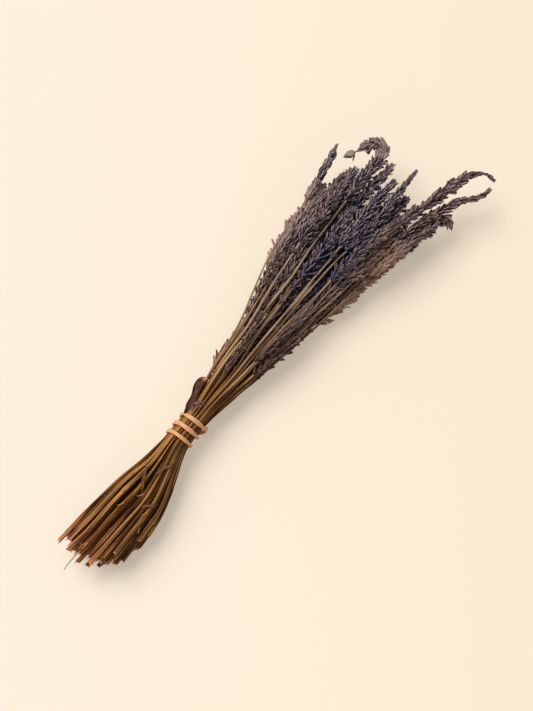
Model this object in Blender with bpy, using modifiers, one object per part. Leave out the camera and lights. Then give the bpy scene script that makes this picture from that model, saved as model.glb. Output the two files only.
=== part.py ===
# A bunch of dried lavender: flowering sprigs tied round the waist with a rubber band, lying on its side.
# +X runs along the bunch from the cut stem ends to the flowers, +Z is up, and the bunch rests on z = 0.
# The layout is worked out in millimetres with x = 0 at the tie, then moved so that the origin is under
# the middle of the whole bunch.

import math

import bmesh
import bpy
import numpy as np

MM = 0.001
SEED = 23

# The bunch
SPRIG_COUNT = 52
GAP = 0.3
WAIST_RADIUS = 8.9
WAIST_HALF_LENGTH = 12.0
WAIST_HEIGHT = 16.5

# A stem, as the radius to the corners of its square section
STEM_CUT_RADIUS = 1.5
STEM_WAIST_RADIUS = 0.92
STEM_MIDDLE_RADIUS = 1.1
STEM_NECK_RADIUS = 0.92
STEM_MIDDLE_X = 42.0
STEM_LOWEST_NECK_X = 60.0
STEM_START_TURN = 0.125

# A flower spike: its size, the narrow neck and the standing buds of a whorl, as shares of the radius and
# of the pitch, and how the radius swells from the base and tapers to the tip
SPIKE_RADIUS = 4.7
SPIKE_LENGTH = 70.0
SPIKE_RADIUS_RANGE = (0.84, 1.0)
SPIKE_LENGTH_RANGE = (0.95, 1.12)
WHORL_PITCH = 7.6
FEWEST_WHORLS = 5
BUDS_PER_WHORL = 3
CORE_SHARE = 0.5
VALLEY_SHARE = 0.62
WHORL_CORE_PLACE = 0.2
WHORL_BUD_PLACE = 0.75
WHORL_MIDDLE = 0.6
BASE_SHARE = 0.72
BASE_SWELL = 1.4
TAPER_FROM = 0.68
TAPER_LOSS = 0.52
TAPER_POWER = 1.5

# Stations along the bunch, where every sprig's centreline has a point
LOW_END = -120.0
HIGH_END = 298.0
LOW_STATIONS = 6
HIGH_STATIONS = 13
SAMPLES_PER_SPAN = 4
STATION_MARGIN = 4.0
NECK_MARGIN = 3.0

# How the sprigs settle beside each other: each is pulled towards its wanted line and smoothed, less and
# less, while those that are too near are pushed apart
RELAX_STEPS = 700
PULL_FADES_OVER = 0.8
FREE_PULL = 0.10
SHAPED_PULL = 0.16
SHAPED_HOLD = 0.015
FREE_SMOOTHING = 0.10
SHAPED_SMOOTHING = 0.04
START_SCATTER = 0.05
PUSHES_PER_STEP = 2
PUSH_SHARE = 0.9
ROOM_FACTOR = 1.02
END_MARGIN = 2.0
ABSENT = -1000.0

# How far a stem that lies on the surface is let in, so that it rests on a flat side
FLAT_SIDE_SINK = 0.05
ROUND_SIDE_SINK = 0.15
FLAT_SIDE_BELOW = -0.6

# The bunch's outline, as values at a few places along x
FAN_X = (10, 50, 90, 130, 200, 298)
FAN_HALF_WIDTH = (8, 12, 20, 29.5, 40, 48)
FAN_HALF_HEIGHT = (8, 11, 14, 17, 19, 19)
FAN_HEIGHT = (16.5, 15, 15.5, 17, 19.5, 20)
FLARE_X = (-120, -95, -57, -35, -10)
FLARE_HALF_WIDTH = (25, 25, 18.5, 12.5, 8)
FLARE_HALF_HEIGHT = (14.5, 14, 12.5, 10.5, 8)
FLARE_HEIGHT = (13, 13, 14, 15, 16.5)
FLARE_SIDE = (-2, -4, -4.5, -3, 0)

SIDE_PRESS = 0.8

# How far a free sprig wanders sideways and in height, below the tie and in the fan
BEND_LOW_X = (-100, 0)
BEND_HIGH_X = (20, 200)
BEND_RANGE = (1.2, 1.0, 3.0, 2.4)

# How far the cut ends reach below the tie, by their place across the bunch
CUT_SIDE = (-29, -22, -14, 0, 12, 19)
CUT_REACH = (80, 105, 116, 121, 119, 116)
CUT_JITTER = 13.0
CUT_X = -100

# Spikes that stand out in the outline: spike radius, spike length, then (x, y, z) on the way to the tip,
# then the points of a curled end that turns back
LEFT_SPIKE = (2.9, 44, ((127, 31, 24), (161, 35, 26), (196, 39, 27), (229, 47, 30)), ())
HOOKED_SPIKE = (
    3.9, 80, ((160, 12, 33), (200, 13, 35), (228, 14, 36), (242, 15, 36)),
    ((248, 17, 36), (251.5, 21.5, 36), (250, 27, 35.5), (245, 31, 35), (238.5, 33, 34), (232, 33.5, 33)),
)
BLUNT_BY_HOOK = (4.0, 66, ((170, 5, 30), (215, 6, 31), (243, 4, 32)), ())
BLUNT_RIGHT = (4.1, 66, ((150, -5, 36), (195, -6, 37), (222, -3, 37), (233, -9, 36)), ())
MIDDLE_SPIKE = (3.7, 80, ((150, -8, 34), (205, -13, 34), (249, -13, 36)), ())
FAR_SPIKE = (
    3.7, 84, ((150, -20, 30), (195, -26, 30), (231, -33, 31), (254, -39, 31), (270, -45, 31)),
    ((277, -49, 30), (281, -55, 28.5), (281, -61.5, 27)),
)
FAR_LOWER_SPIKE = (
    3.5, 78, ((150, -25, 25), (200, -34, 25), (236, -42, 25), (252, -50, 25)),
    ((258.5, -55.5, 25), (265, -60.5, 25), (273, -63, 25)),
)
CURLED_SPIKE = (
    4.0, 78, ((150, -28, 19), (195, -38, 18), (217, -43, 18), (230, -47.5, 18.5)),
    ((235, -51, 19), (235.5, -56, 19.5), (231.5, -59, 20)),
)
RIM_SPIKE = (4.2, 80, ((120, -25.5, 13), (165, -33, 14), (212, -42, 13)), ())
TOP_LEFT_SPIKE = (4.0, 70, ((150, 20, 34), (195, 20, 36), (222, 22, 37)), ())
PALE_SPIKE = (3.9, 66, ((150, 25, 30), (190, 25.5, 31), (217, 29, 31)), ())
LEFT_BLUNT = (4.2, 72, ((140, 27.5, 28), (200, 33, 24)), ())
LOW_RIGHT_SPIKE = (3.5, 50, ((50, -11, 22), (80, -16.5, 23), (107, -22.5, 23)), ())
LOW_LEFT_SPIKE = (3.7, 56, ((80, 15, 22), (108, 22.5, 22), (137, 30, 21)), ())
LOW_TOP_SPIKE = (3.2, 54, ((45, 2, 25), (70, 5, 28), (100, 9, 31)), ())
LOW_TOP_RIGHT = (3.3, 58, ((60, -8, 27), (90, -12, 29), (122, -17, 30)), ())
TOP_MIDDLE = (3.9, 66, ((110, 4, 30), (150, 2, 34), (198, 4, 37)), ())
TOP_RIGHT = (3.8, 66, ((110, -11, 30), (150, -16, 33), (210, -27, 36)), ())
SHAPED_SPIKES = (
    LEFT_SPIKE, HOOKED_SPIKE, BLUNT_BY_HOOK, BLUNT_RIGHT, MIDDLE_SPIKE, FAR_SPIKE, FAR_LOWER_SPIKE,
    CURLED_SPIKE, RIM_SPIKE, TOP_LEFT_SPIKE, PALE_SPIKE, LEFT_BLUNT, LOW_RIGHT_SPIKE, LOW_LEFT_SPIKE,
    LOW_TOP_SPIKE, LOW_TOP_RIGHT, TOP_MIDDLE, TOP_RIGHT,
)

# The reach of the other spikes' tips, more of them near the far end than near the middle
SHORT_EVERY = 5
SHORT_SIZE = 0.82
SHORT_TIPS = (92.0, 132.0)
MIDDLE_TIP = 130.0
LONG_TIP = 234.0
TIP_CROWDING = 0.45
TIP_STRIDE = 7

# The rubber band, its three turns and the return under the bunch
BAND_WIDTH = 3.0
BAND_THICKNESS = 1.4
BAND_REACH = 9.5
BAND_TURNS = 3
BAND_RETURN_TURNS = 0.5
BAND_STEP_SHARE = 0.75
BAND_STEPS_PER_TURN = 20
BAND_CORNERS = 8
BAND_SLACK = 0.2
BAND_LIFT_STEEPNESS = 4
WELD_MM = 0.02

# The dark curled leaf beside the tie: its two ends, its half width at the ends and how much it swells,
# how deep it is cupped, and how it leans at its two ends
LEAF_THICKNESS = 0.7
LEAF_STEPS = 7
LEAF_FROM = (13.5, 9.3, 19.5)
LEAF_TO = (35.5, 14.5, 24.5)
LEAF_END_HALF = 1.0
LEAF_SWELL = 1.9
LEAF_CUP = 0.75
LEAF_LEAN = (-1.1, -0.4)

# Scraps of leaf on the stems: x, y, heading in degrees, length and half width
SCRAPS = ((-33, -7, -20, 13, 1.5), (-48, -1, 28, 15, 1.2), (-60, -15, -50, 9, 1.0))
SCRAP_STEPS = 5
SCRAP_TOUCHES = 5
SCRAP_END_SHARE = 0.45
SCRAP_CLEARANCE = 0.05
SCRAP_LIFT = 4.0
SCRAP_CUP = 0.25
SCRAP_LEAN = 0.5

# The loose stalk, its place across the bunch and its reach
STALK_SLOT = (0.2, 0.55)
STALK_RADIUS = 0.45
STALK_FROM = -129.0
STALK_TO = -45.0


class Strand:
    """One sprig or stalk: its place in the bunch, its reach, and its centreline once it is laid out."""

    def __init__(self, name, slot, cut_x, tip_x):
        self.name = name
        self.slot = slot
        self.cut_x = cut_x
        self.tip_x = tip_x
        self.spike_radius = 0.0
        self.spike_length = 0.0
        self.way = ()
        self.tail = ()
        self.twist = 0.0
        self.bend = np.zeros(4)

    def neck_x(self):
        """Where the stem ends and the spike starts, along x."""
        return self.tip_x - max(0.0, self.spike_length - self.tail_length())

    def tail_length(self):
        if not self.tail:
            return 0.0
        points = np.array([self.way[-1]] + list(self.tail))
        return float(np.linalg.norm(np.diff(points, axis=0), axis=1).sum())


def outline(x, side, height):
    """The point of the bunch at x for a slot in the unit circle."""
    if x < 0:
        y = np.interp(x, FLARE_X, FLARE_SIDE) + side * np.interp(x, FLARE_X, FLARE_HALF_WIDTH)
        z = np.interp(x, FLARE_X, FLARE_HEIGHT) + height * np.interp(x, FLARE_X, FLARE_HALF_HEIGHT)
        return y, z
    y = side * np.interp(x, FAN_X, FAN_HALF_WIDTH)
    z = np.interp(x, FAN_X, FAN_HEIGHT) + height * np.interp(x, FAN_X, FAN_HALF_HEIGHT)
    return y, z


def sunflower_slots(count):
    """Places over the unit circle, pressed out towards its two sides."""
    golden = math.pi * (3 - math.sqrt(5))
    slots = []
    for rank in range(count):
        radius = math.sqrt((rank + 0.5) / count)
        side = radius * math.cos(rank * golden)
        height = radius * math.sin(rank * golden)
        slots.append((math.copysign(abs(side) ** SIDE_PRESS, side), height))
    return slots


def nearest_slot(slots, wanted):
    return min(slots, key=lambda slot: math.dist(slot, wanted))


def slot_for_way(way):
    """The slot whose line through the fan runs nearest to a shaped spike."""
    x, y, z = way[min(1, len(way) - 1)]
    side = y / np.interp(x, FAN_X, FAN_HALF_WIDTH)
    height = (z - np.interp(x, FAN_X, FAN_HEIGHT)) / np.interp(x, FAN_X, FAN_HALF_HEIGHT)
    length = max(1.0, math.hypot(side, height))
    return side / length, height / length


def cut_place(slot, draw):
    y, _ = outline(CUT_X, *slot)
    return -(np.interp(y, CUT_SIDE, CUT_REACH) - CUT_JITTER * draw.random())


def plan_sprigs():
    """Every sprig with its slot and reach, shaped ones first."""
    draw = np.random.default_rng(SEED)
    free = sunflower_slots(SPRIG_COUNT)
    sprigs = []
    for number in range(SPRIG_COUNT):
        shaped = SHAPED_SPIKES[number] if number < len(SHAPED_SPIKES) else None
        slot = nearest_slot(free, slot_for_way(shaped[2])) if shaped else free[0]
        free.remove(slot)
        sprig = Strand(f"sprig_{number + 1:02d}", slot, cut_place(slot, draw), 0.0)
        sprig.twist = draw.uniform(0, math.pi / 2) if slot[1] > FLAT_SIDE_BELOW else 0.0
        if shaped:
            sprig.spike_radius, sprig.spike_length, sprig.way, sprig.tail = shaped
            sprig.tip_x = sprig.way[-1][0]
        else:
            rank = (number - len(SHAPED_SPIKES) + draw.random()) / (SPRIG_COUNT - len(SHAPED_SPIKES))
            size = draw.uniform(*SPIKE_RADIUS_RANGE)
            if number % SHORT_EVERY == 0:
                sprig.tip_x = draw.uniform(*SHORT_TIPS)
                size *= SHORT_SIZE
            else:
                reach = ((rank * TIP_STRIDE) % 1.0) ** TIP_CROWDING
                sprig.tip_x = MIDDLE_TIP + (LONG_TIP - MIDDLE_TIP) * reach
            sprig.spike_radius = SPIKE_RADIUS * size
            sprig.spike_length = SPIKE_LENGTH * size * draw.uniform(*SPIKE_LENGTH_RANGE)
            sprig.bend = draw.uniform(-1, 1, 4) * BEND_RANGE
        sprigs.append(sprig)
    return sprigs


def wanted_point(strand, x):
    """Where the strand would run if nothing were in its way."""
    y, z = outline(x, *strand.slot)
    if strand.way and x > FAN_X[1]:
        start = (FAN_X[1],) + tuple(outline(FAN_X[1], *strand.slot))
        points = [start] + list(strand.way)
        xs = [p[0] for p in points]
        return np.interp(x, xs, [p[1] for p in points]), np.interp(x, xs, [p[2] for p in points])
    low = np.interp(x, BEND_LOW_X, (1, 0))
    high = np.interp(x, BEND_HIGH_X, (0, 1))
    y += strand.bend[0] * low + strand.bend[2] * high
    z += strand.bend[1] * low + strand.bend[3] * high
    return y, z


def spike_envelope(share):
    """The spike's radius along its length, as a share of its largest."""
    rise = min(1.0, BASE_SHARE + BASE_SWELL * share)
    fall = max(0.0, (share - TAPER_FROM) / (1 - TAPER_FROM))
    return rise * (1 - TAPER_LOSS * fall**TAPER_POWER)


def stem_radius(strand, x):
    if not strand.spike_length:
        return STALK_RADIUS
    neck = max(STEM_LOWEST_NECK_X, strand.neck_x())
    xs = (LOW_END, -WAIST_HALF_LENGTH, WAIST_HALF_LENGTH, STEM_MIDDLE_X, neck)
    radii = (STEM_CUT_RADIUS, STEM_WAIST_RADIUS, STEM_WAIST_RADIUS, STEM_MIDDLE_RADIUS, STEM_NECK_RADIUS)
    return float(np.interp(x, xs, radii))


def clear_radius(strand, x):
    """The radius that a strand needs at x, or a negative number where it isn't there."""
    if x < strand.cut_x - END_MARGIN or x > strand.tip_x + END_MARGIN:
        return ABSENT
    neck = strand.neck_x()
    if not strand.spike_length or x < neck - END_MARGIN:
        return stem_radius(strand, x)
    share = (x - neck) / strand.spike_length
    return max(STEM_WAIST_RADIUS, strand.spike_radius * spike_envelope(min(1.0, max(0.0, share))))


def stations():
    low = np.linspace(LOW_END, -WAIST_HALF_LENGTH, LOW_STATIONS)
    high = np.linspace(WAIST_HALF_LENGTH, HIGH_END, HIGH_STATIONS)
    return np.concatenate([low, high])


def sample_weights(places):
    """Places between the stations, and each one's share of its two stations."""
    xs = []
    rows = []
    for index in range(len(places) - 1):
        for step in range(SAMPLES_PER_SPAN):
            share = step / SAMPLES_PER_SPAN
            row = np.zeros(len(places))
            row[index] = 1 - share
            row[index + 1] = share
            rows.append(row)
            xs.append(places[index] * (1 - share) + places[index + 1] * share)
    return np.array(xs), np.array(rows)


def push_apart(points, radii):
    """The moves that part the strands at each sample, half for each of a pair."""
    delta = points[:, None] - points[None, :]
    distance = np.linalg.norm(delta, axis=3) + 1e-9
    need = (radii[:, None] + radii[None, :]) * ROOM_FACTOR + GAP
    lack = np.maximum(0.0, need - distance)
    lack[np.arange(len(points)), np.arange(len(points))] = 0.0
    return ((0.5 * lack / distance)[..., None] * delta).sum(axis=1)


def keep_in_waist(points, xs, radii):
    """The moves that hold the strands inside the band."""
    inside = np.abs(xs) <= WAIST_HALF_LENGTH
    arm = points - np.array([0.0, WAIST_HEIGHT])
    length = np.linalg.norm(arm, axis=2) + 1e-9
    excess = np.maximum(0.0, length + radii - WAIST_RADIUS) * inside * (radii > 0)
    return -(excess / length)[..., None] * arm


def lay_out(strands):
    """The strands' y and z at every station, so that none runs through another."""
    places = stations()
    xs, weights = sample_weights(places)
    wanted = np.array([[wanted_point(s, x) for x in places] for s in strands])
    radii = np.array([[clear_radius(s, x) for x in xs] for s in strands])
    flat = np.array([s.twist == 0.0 for s in strands])
    shaped = np.array([bool(s.way) for s in strands])
    on_flat_side = flat[:, None] & (xs[None, :] < 0)
    floor = np.where(on_flat_side, radii * math.sqrt(0.5) - FLAT_SIDE_SINK, radii - ROUND_SIDE_SINK)
    draw = np.random.default_rng(SEED + 1)
    points = wanted + draw.normal(0, START_SCATTER, wanted.shape)
    total = weights.sum(axis=0)
    smoothing = np.where(shaped, SHAPED_SMOOTHING, FREE_SMOOTHING)[:, None, None]
    for step in range(RELAX_STEPS):
        left = max(0.0, 1 - step / (RELAX_STEPS * PULL_FADES_OVER))
        pull = np.where(shaped, SHAPED_HOLD + SHAPED_PULL * left, FREE_PULL * left)[:, None, None]
        points += pull * (wanted - points)
        middle = 0.5 * (points[:, :-2] + points[:, 2:])
        points[:, 1:-1] += smoothing * left * (middle - points[:, 1:-1])
        for _ in range(PUSHES_PER_STEP):
            samples = np.einsum("ks,nsc->nkc", weights, points)
            moves = push_apart(samples, radii) + keep_in_waist(samples, xs, radii)
            moves[:, :, 1] += np.maximum(0.0, floor - samples[:, :, 1]) * (radii > 0)
            points += PUSH_SHARE * np.einsum("ks,nkc->nsc", weights, moves) / total[None, :, None]
    return places, points


def centreline(strand, places, points):
    """The strand's own points in three dimensions, from its cut end to its tip."""
    inner = [x for x in places if strand.cut_x + STATION_MARGIN < x < strand.tip_x - STATION_MARGIN]
    xs = [strand.cut_x] + inner + [strand.tip_x]
    line = [(x, np.interp(x, places, points[:, 0]), np.interp(x, places, points[:, 1])) for x in xs]
    if strand.tail:
        shift = np.array(line[-1]) - np.array(strand.way[-1])
        line += [tuple(np.array(p) + shift) for p in strand.tail]
    return np.array(line)


def along(line, distances):
    """Points at distances along a line of points."""
    steps = np.linalg.norm(np.diff(line, axis=0), axis=1)
    reach = np.concatenate([[0], np.cumsum(steps)])
    return np.stack([np.interp(distances, reach, line[:, k]) for k in range(3)], axis=1)


def line_length(line):
    return float(np.linalg.norm(np.diff(line, axis=0), axis=1).sum())


def frames(points):
    """A side and an up vector, square to the line, at each point."""
    tangent = np.gradient(points, axis=0)
    tangent /= np.linalg.norm(tangent, axis=1)[:, None]
    side = np.cross(np.array([0.0, 0.0, 1.0]), tangent)
    side /= np.linalg.norm(side, axis=1)[:, None]
    return side, np.cross(tangent, side)


def ring(centre, side, up, radii, turn):
    """A ring of corners round a point, one for each radius, as points and angles."""
    angles = turn + 2 * math.pi * np.arange(len(radii)) / len(radii)
    return [centre + r * (math.cos(a) * side + math.sin(a) * up) for r, a in zip(radii, angles)]


def stem_rings(strand, line, neck):
    """The square rings of the stem, at the line's own points up to the neck."""
    reach = np.concatenate([[0], np.cumsum(np.linalg.norm(np.diff(line, axis=0), axis=1))])
    distances = [d for d in reach if d < neck - NECK_MARGIN] + [neck]
    points = along(line, distances)
    side, up = frames(points)
    rings = []
    for point, s, u in zip(points, side, up):
        radius = stem_radius(strand, point[0])
        rings.append(ring(point, s, u, [radius] * 4, 2 * math.pi * STEM_START_TURN + strand.twist))
    return rings


def spike_rings(strand, line, neck, tip):
    """The rings of the spike: each whorl has a narrow ring, then one whose buds stand out between dips."""
    corners = 2 * BUDS_PER_WHORL
    whorls = max(FEWEST_WHORLS, round((tip - neck) / WHORL_PITCH))
    pitch = (tip - neck) / whorls
    distances = []
    rows = []
    for whorl in range(whorls):
        radius = strand.spike_radius * spike_envelope((whorl + WHORL_MIDDLE) / whorls)
        distances += [neck + (whorl + WHORL_CORE_PLACE) * pitch, neck + (whorl + WHORL_BUD_PLACE) * pitch]
        rows.append([CORE_SHARE * radius] * corners)
        buds = [radius if (k + whorl) % 2 == 0 else VALLEY_SHARE * radius for k in range(corners)]
        rows.append(buds)
    points = along(line, distances)
    side, up = frames(points)
    return [ring(p, s, u, row, strand.twist) for p, s, u, row in zip(points, side, up, rows)]


def stitch(first, second, start_a, start_b):
    """Triangles between a ring of one count and a ring of another, walking both by angle."""
    count_a, count_b = len(first), len(second)
    faces = []
    a = b = 0
    while a < count_a or b < count_b:
        angle_a = start_a + (a + 1) / count_a
        angle_b = start_b + (b + 1) / count_b
        if b == count_b or (a < count_a and angle_a <= angle_b):
            faces.append((first[a % count_a], first[(a + 1) % count_a], second[b % count_b]))
            a += 1
        else:
            faces.append((first[a % count_a], second[(b + 1) % count_b], second[b % count_b]))
            b += 1
    return faces


def loft(rings, tip):
    """Corners and faces of a body through rings to its tip, each face with the number of its lower ring."""
    corners = [tuple(p) for r in rings for p in r]
    starts = np.cumsum([0] + [len(r) for r in rings])
    index = [list(range(starts[k], starts[k + 1])) for k in range(len(rings))]
    faces = [tuple(reversed(index[0]))]
    owners = [0]
    for k in range(len(rings) - 1):
        low, high = index[k], index[k + 1]
        if len(low) == len(high):
            count = len(low)
            new = [(low[j], low[(j + 1) % count], high[(j + 1) % count], high[j]) for j in range(count)]
        else:
            new = stitch(low, high, STEM_START_TURN, 0.0)
        faces += new
        owners += [k] * len(new)
    corners.append(tuple(tip))
    last = index[-1]
    for j in range(len(last)):
        faces.append((last[j], last[(j + 1) % len(last)], len(corners) - 1))
        owners.append(len(rings) - 1)
    return corners, faces, owners


def sprig_body(strand, line):
    """A sprig's corners, faces and, for each face, 0 on the stem and 1 on the spike."""
    tip = line_length(line)
    neck = tip - strand.spike_length
    stem = stem_rings(strand, line, neck)
    spike = spike_rings(strand, line, neck, tip)
    corners, faces, owners = loft(stem + spike, along(line, [tip])[0])
    return corners, faces, [0 if k < len(stem) - 1 else 1 for k in owners]


def rigid_line(strand, line):
    """The part of a centreline before any curled end, where x only grows."""
    return line[: len(line) - len(strand.tail)]


def surface_height(lines, strands, x, y):
    """The top of the stems at a place, for what lies on them."""
    top = -1.0
    for strand, line in zip(strands, lines):
        if not line[0, 0] <= x <= strand.tip_x:
            continue
        radius = clear_radius(strand, x)
        straight = rigid_line(strand, line)
        if abs(y - np.interp(x, straight[:, 0], straight[:, 1])) < radius:
            top = max(top, np.interp(x, straight[:, 0], straight[:, 2]) + radius)
    return top


def in_place(point, shift):
    """A layout point in metres in the bunch's own frame, never under the surface it rests on."""
    return ((point[0] - shift[0]) * MM, (point[1] - shift[1]) * MM, max(point[2], 0.0) * MM)


def sprig(name, body, materials, shift):
    """A sprig as a closed mesh, its faces pointing out."""
    corners, faces, kinds = body
    mesh = bpy.data.meshes.new(name)
    built = bmesh.new()
    placed = [built.verts.new(in_place(corner, shift)) for corner in corners]
    for face, kind in zip(faces, kinds):
        built.faces.new([placed[k] for k in face]).material_index = kind
    bmesh.ops.recalc_face_normals(built, faces=built.faces)
    bmesh.ops.triangulate(built, faces=built.faces)
    built.to_mesh(mesh)
    built.free()
    for material in materials:
        mesh.materials.append(material)
    return bpy.data.objects.new(name, mesh)


def blade(name, points, half_widths, cup, lean, material, shift):
    """A thin dried blade along points: an open strip with cupped edges, made solid to both sides."""
    side, up = frames(points)
    mesh = bpy.data.meshes.new(name)
    built = bmesh.new()
    bmesh.ops.create_grid(built, x_segments=len(points) - 1, y_segments=2, size=1.0)
    for corner in built.verts:
        step = round(0.5 * (corner.co.x + 1) * (len(points) - 1))
        across = corner.co.y * half_widths[step]
        lift = cup * abs(across)
        turn = lean[step]
        width_way = math.cos(turn) * side[step] + math.sin(turn) * up[step]
        lift_way = math.cos(turn) * up[step] - math.sin(turn) * side[step]
        corner.co = in_place(points[step] + across * width_way + lift * lift_way, shift)
    built.to_mesh(mesh)
    built.free()
    mesh.materials.append(material)
    made = bpy.data.objects.new(name, mesh)
    thicken = made.modifiers.new("thickness", "SOLIDIFY")
    thicken.thickness = LEAF_THICKNESS * MM
    thicken.offset = 0.0
    return made


def curled_leaf(material, shift):
    """The dark curled leaf at the left of the stems, just past the band."""
    share = np.linspace(0, 1, LEAF_STEPS)
    points = np.array([np.interp(share, (0, 1), ends) for ends in zip(LEAF_FROM, LEAF_TO)]).T
    halves = LEAF_END_HALF + LEAF_SWELL * np.sin(math.pi * share)
    lean = np.interp(share, (0, 1), LEAF_LEAN)
    return blade("curled_leaf", points, halves, LEAF_CUP, lean, material, shift)


def leaf_scrap(name, place, lines, strands, material, shift):
    """A small dried leaf that lies over the stems, its far end curling up a little."""
    x, y, heading, length, half = place
    share = np.linspace(-0.5, 0.5, SCRAP_STEPS)
    forward = math.cos(math.radians(heading))
    xs = x + length * share * forward
    ys = y + length * share * math.sin(math.radians(heading))
    beside = np.linspace(-half, half, SCRAP_TOUCHES)
    ahead = np.linspace(-0.5, 0.5, SCRAP_TOUCHES) * length / (SCRAP_STEPS - 1) * forward
    tops = [
        max(surface_height(lines, strands, px + a, py + b) for a in ahead for b in beside)
        for px, py in zip(xs, ys)
    ]
    zs = np.array(tops) + GAP + LEAF_THICKNESS / 2 + SCRAP_CLEARANCE
    zs += SCRAP_LIFT * np.maximum(0.0, share) ** 2
    halves = half * (SCRAP_END_SHARE + (1 - SCRAP_END_SHARE) * np.cos(math.pi * share))
    points = np.stack([xs, ys, zs], axis=1)
    return blade(name, points, halves, SCRAP_CUP, SCRAP_LEAN * share, material, shift)


def stalk_object(line, material, shift):
    """The loose stalk: a thin square tube along its line, its ends closed."""
    curve = bpy.data.curves.new("loose_stalk", "CURVE")
    curve.dimensions = "3D"
    curve.bevel_depth = STALK_RADIUS * MM
    curve.bevel_resolution = 0
    curve.use_fill_caps = True
    spline = curve.splines.new("POLY")
    spline.points.add(len(line) - 1)
    for point, place in zip(spline.points, line):
        point.co = (*in_place(place, shift), 1)
    curve.materials.append(material)
    return bpy.data.objects.new("loose_stalk", curve)


def band_points():
    """The loop of the rubber band in its own frame, its winding axis along z: three turns up, then back."""
    steps = BAND_TURNS * BAND_STEPS_PER_TURN
    going = BAND_TURNS - BAND_RETURN_TURNS
    points = []
    for step in range(steps):
        turn = BAND_TURNS * step / steps
        angle = 2 * math.pi * turn + math.pi / 2
        if turn < going:
            climbed = (2 * math.pi * turn + BAND_STEP_SHARE * (math.sin(angle) - 1)) / (2 * math.pi * going)
            height = -BAND_REACH + 2 * BAND_REACH * climbed
            lift = 0.0
        else:
            share = (turn - going) / BAND_RETURN_TURNS
            height = BAND_REACH * math.cos(math.pi * share)
            lift = min(1.0, BAND_LIFT_STEEPNESS * math.sin(math.pi * share) ** 2)
        radius = WAIST_RADIUS + GAP + BAND_SLACK + BAND_THICKNESS / 2 + lift * (BAND_THICKNESS + GAP)
        points.append((radius * math.cos(angle), radius * math.sin(angle), height))
    return points


def band_profile():
    """A flat oval, the section of the band."""
    curve = bpy.data.curves.new("band_section", "CURVE")
    curve.dimensions = "2D"
    spline = curve.splines.new("POLY")
    spline.points.add(BAND_CORNERS - 1)
    for k in range(BAND_CORNERS):
        angle = 2 * math.pi * (k + 0.5) / BAND_CORNERS
        x = 0.5 * BAND_THICKNESS * MM * math.cos(angle)
        y = 0.5 * BAND_WIDTH * MM * math.sin(angle)
        spline.points[k].co = (x, y, 0, 1)
    spline.use_cyclic_u = True
    profile = bpy.data.objects.new("band_section", curve)
    profile.hide_render = True
    profile.display_type = "WIRE"
    return profile


def rubber_band(shift, material, guides):
    """The band as a cyclic curve swept by its section, made a mesh and laid round the waist."""
    curve = bpy.data.curves.new("band_path", "CURVE")
    curve.dimensions = "3D"
    curve.twist_mode = "Z_UP"
    spline = curve.splines.new("POLY")
    points = band_points()
    spline.points.add(len(points) - 1)
    for point, (x, y, z) in zip(spline.points, points):
        point.co = (x * MM, y * MM, z * MM, 1)
    spline.use_cyclic_u = True
    profile = band_profile()
    guides.objects.link(profile)
    curve.bevel_mode = "OBJECT"
    curve.bevel_object = profile
    path = bpy.data.objects.new("band_path", curve)
    path.rotation_euler = (0, math.radians(90), 0)
    path.location = (-shift[0] * MM, -shift[1] * MM, WAIST_HEIGHT * MM)
    guides.objects.link(path)
    bpy.context.view_layer.update()
    graph = bpy.context.evaluated_depsgraph_get()
    mesh = bpy.data.meshes.new_from_object(path.evaluated_get(graph))
    mesh.transform(path.matrix_world)
    built = bmesh.new()
    built.from_mesh(mesh)
    bmesh.ops.remove_doubles(built, verts=built.verts, dist=WELD_MM * MM)
    bmesh.ops.recalc_face_normals(built, faces=built.faces)
    built.to_mesh(mesh)
    built.free()
    mesh.materials.clear()
    mesh.materials.append(material)
    bpy.data.objects.remove(path)
    return bpy.data.objects.new("rubber_band", mesh)


def finish(name, colour, roughness):
    """A plain Principled finish."""
    material = bpy.data.materials.new(name)
    material.use_nodes = True
    shader = material.node_tree.nodes["Principled BSDF"]
    shader.inputs["Base Color"].default_value = (*colour, 1)
    shader.inputs["Roughness"].default_value = roughness
    shader.inputs["Metallic"].default_value = 0.0
    return material


def clear_scene():
    for old in list(bpy.data.objects):
        bpy.data.objects.remove(old, do_unlink=True)


def main():
    clear_scene()
    bunch = bpy.data.collections.new("dried_lavender_bunch")
    guides = bpy.data.collections.new("guides")
    guides.hide_render = True
    bpy.context.scene.collection.children.link(bunch)
    bpy.context.scene.collection.children.link(guides)

    stem_finish = finish("dried_stem", (0.32, 0.18, 0.06), 0.75)
    flower_finish = finish("dried_flowers", (0.13, 0.09, 0.11), 0.85)
    rubber_finish = finish("tan_rubber", (0.75, 0.42, 0.22), 0.4)
    leaf_finish = finish("dried_leaf", (0.09, 0.05, 0.035), 0.8)

    sprigs = plan_sprigs()
    strands = sprigs + [Strand("loose_stalk", STALK_SLOT, STALK_FROM, STALK_TO)]
    places, laid = lay_out(strands)
    lines = [centreline(strand, places, points) for strand, points in zip(strands, laid)]
    bodies = [sprig_body(strand, line) for strand, line in zip(sprigs, lines)]
    corners = np.array([corner for body in bodies for corner in body[0]] + list(lines[-1]))
    shift = 0.5 * (corners.min(axis=0) + corners.max(axis=0))

    for strand, body in zip(sprigs, bodies):
        bunch.objects.link(sprig(strand.name, body, [stem_finish, flower_finish], shift))
    bunch.objects.link(stalk_object(lines[-1], stem_finish, shift))
    bunch.objects.link(curled_leaf(leaf_finish, shift))
    for number, place in enumerate(SCRAPS):
        name = f"leaf_scrap_{number + 1}"
        bunch.objects.link(leaf_scrap(name, place, lines, strands, leaf_finish, shift))
    bunch.objects.link(rubber_band(shift, rubber_finish, guides))


main()
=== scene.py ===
from math import atan2, cos, hypot, pi, radians, remainder, sin, tan

import bmesh
import bpy
import numpy as np
from mathutils import Matrix, Vector


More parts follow.
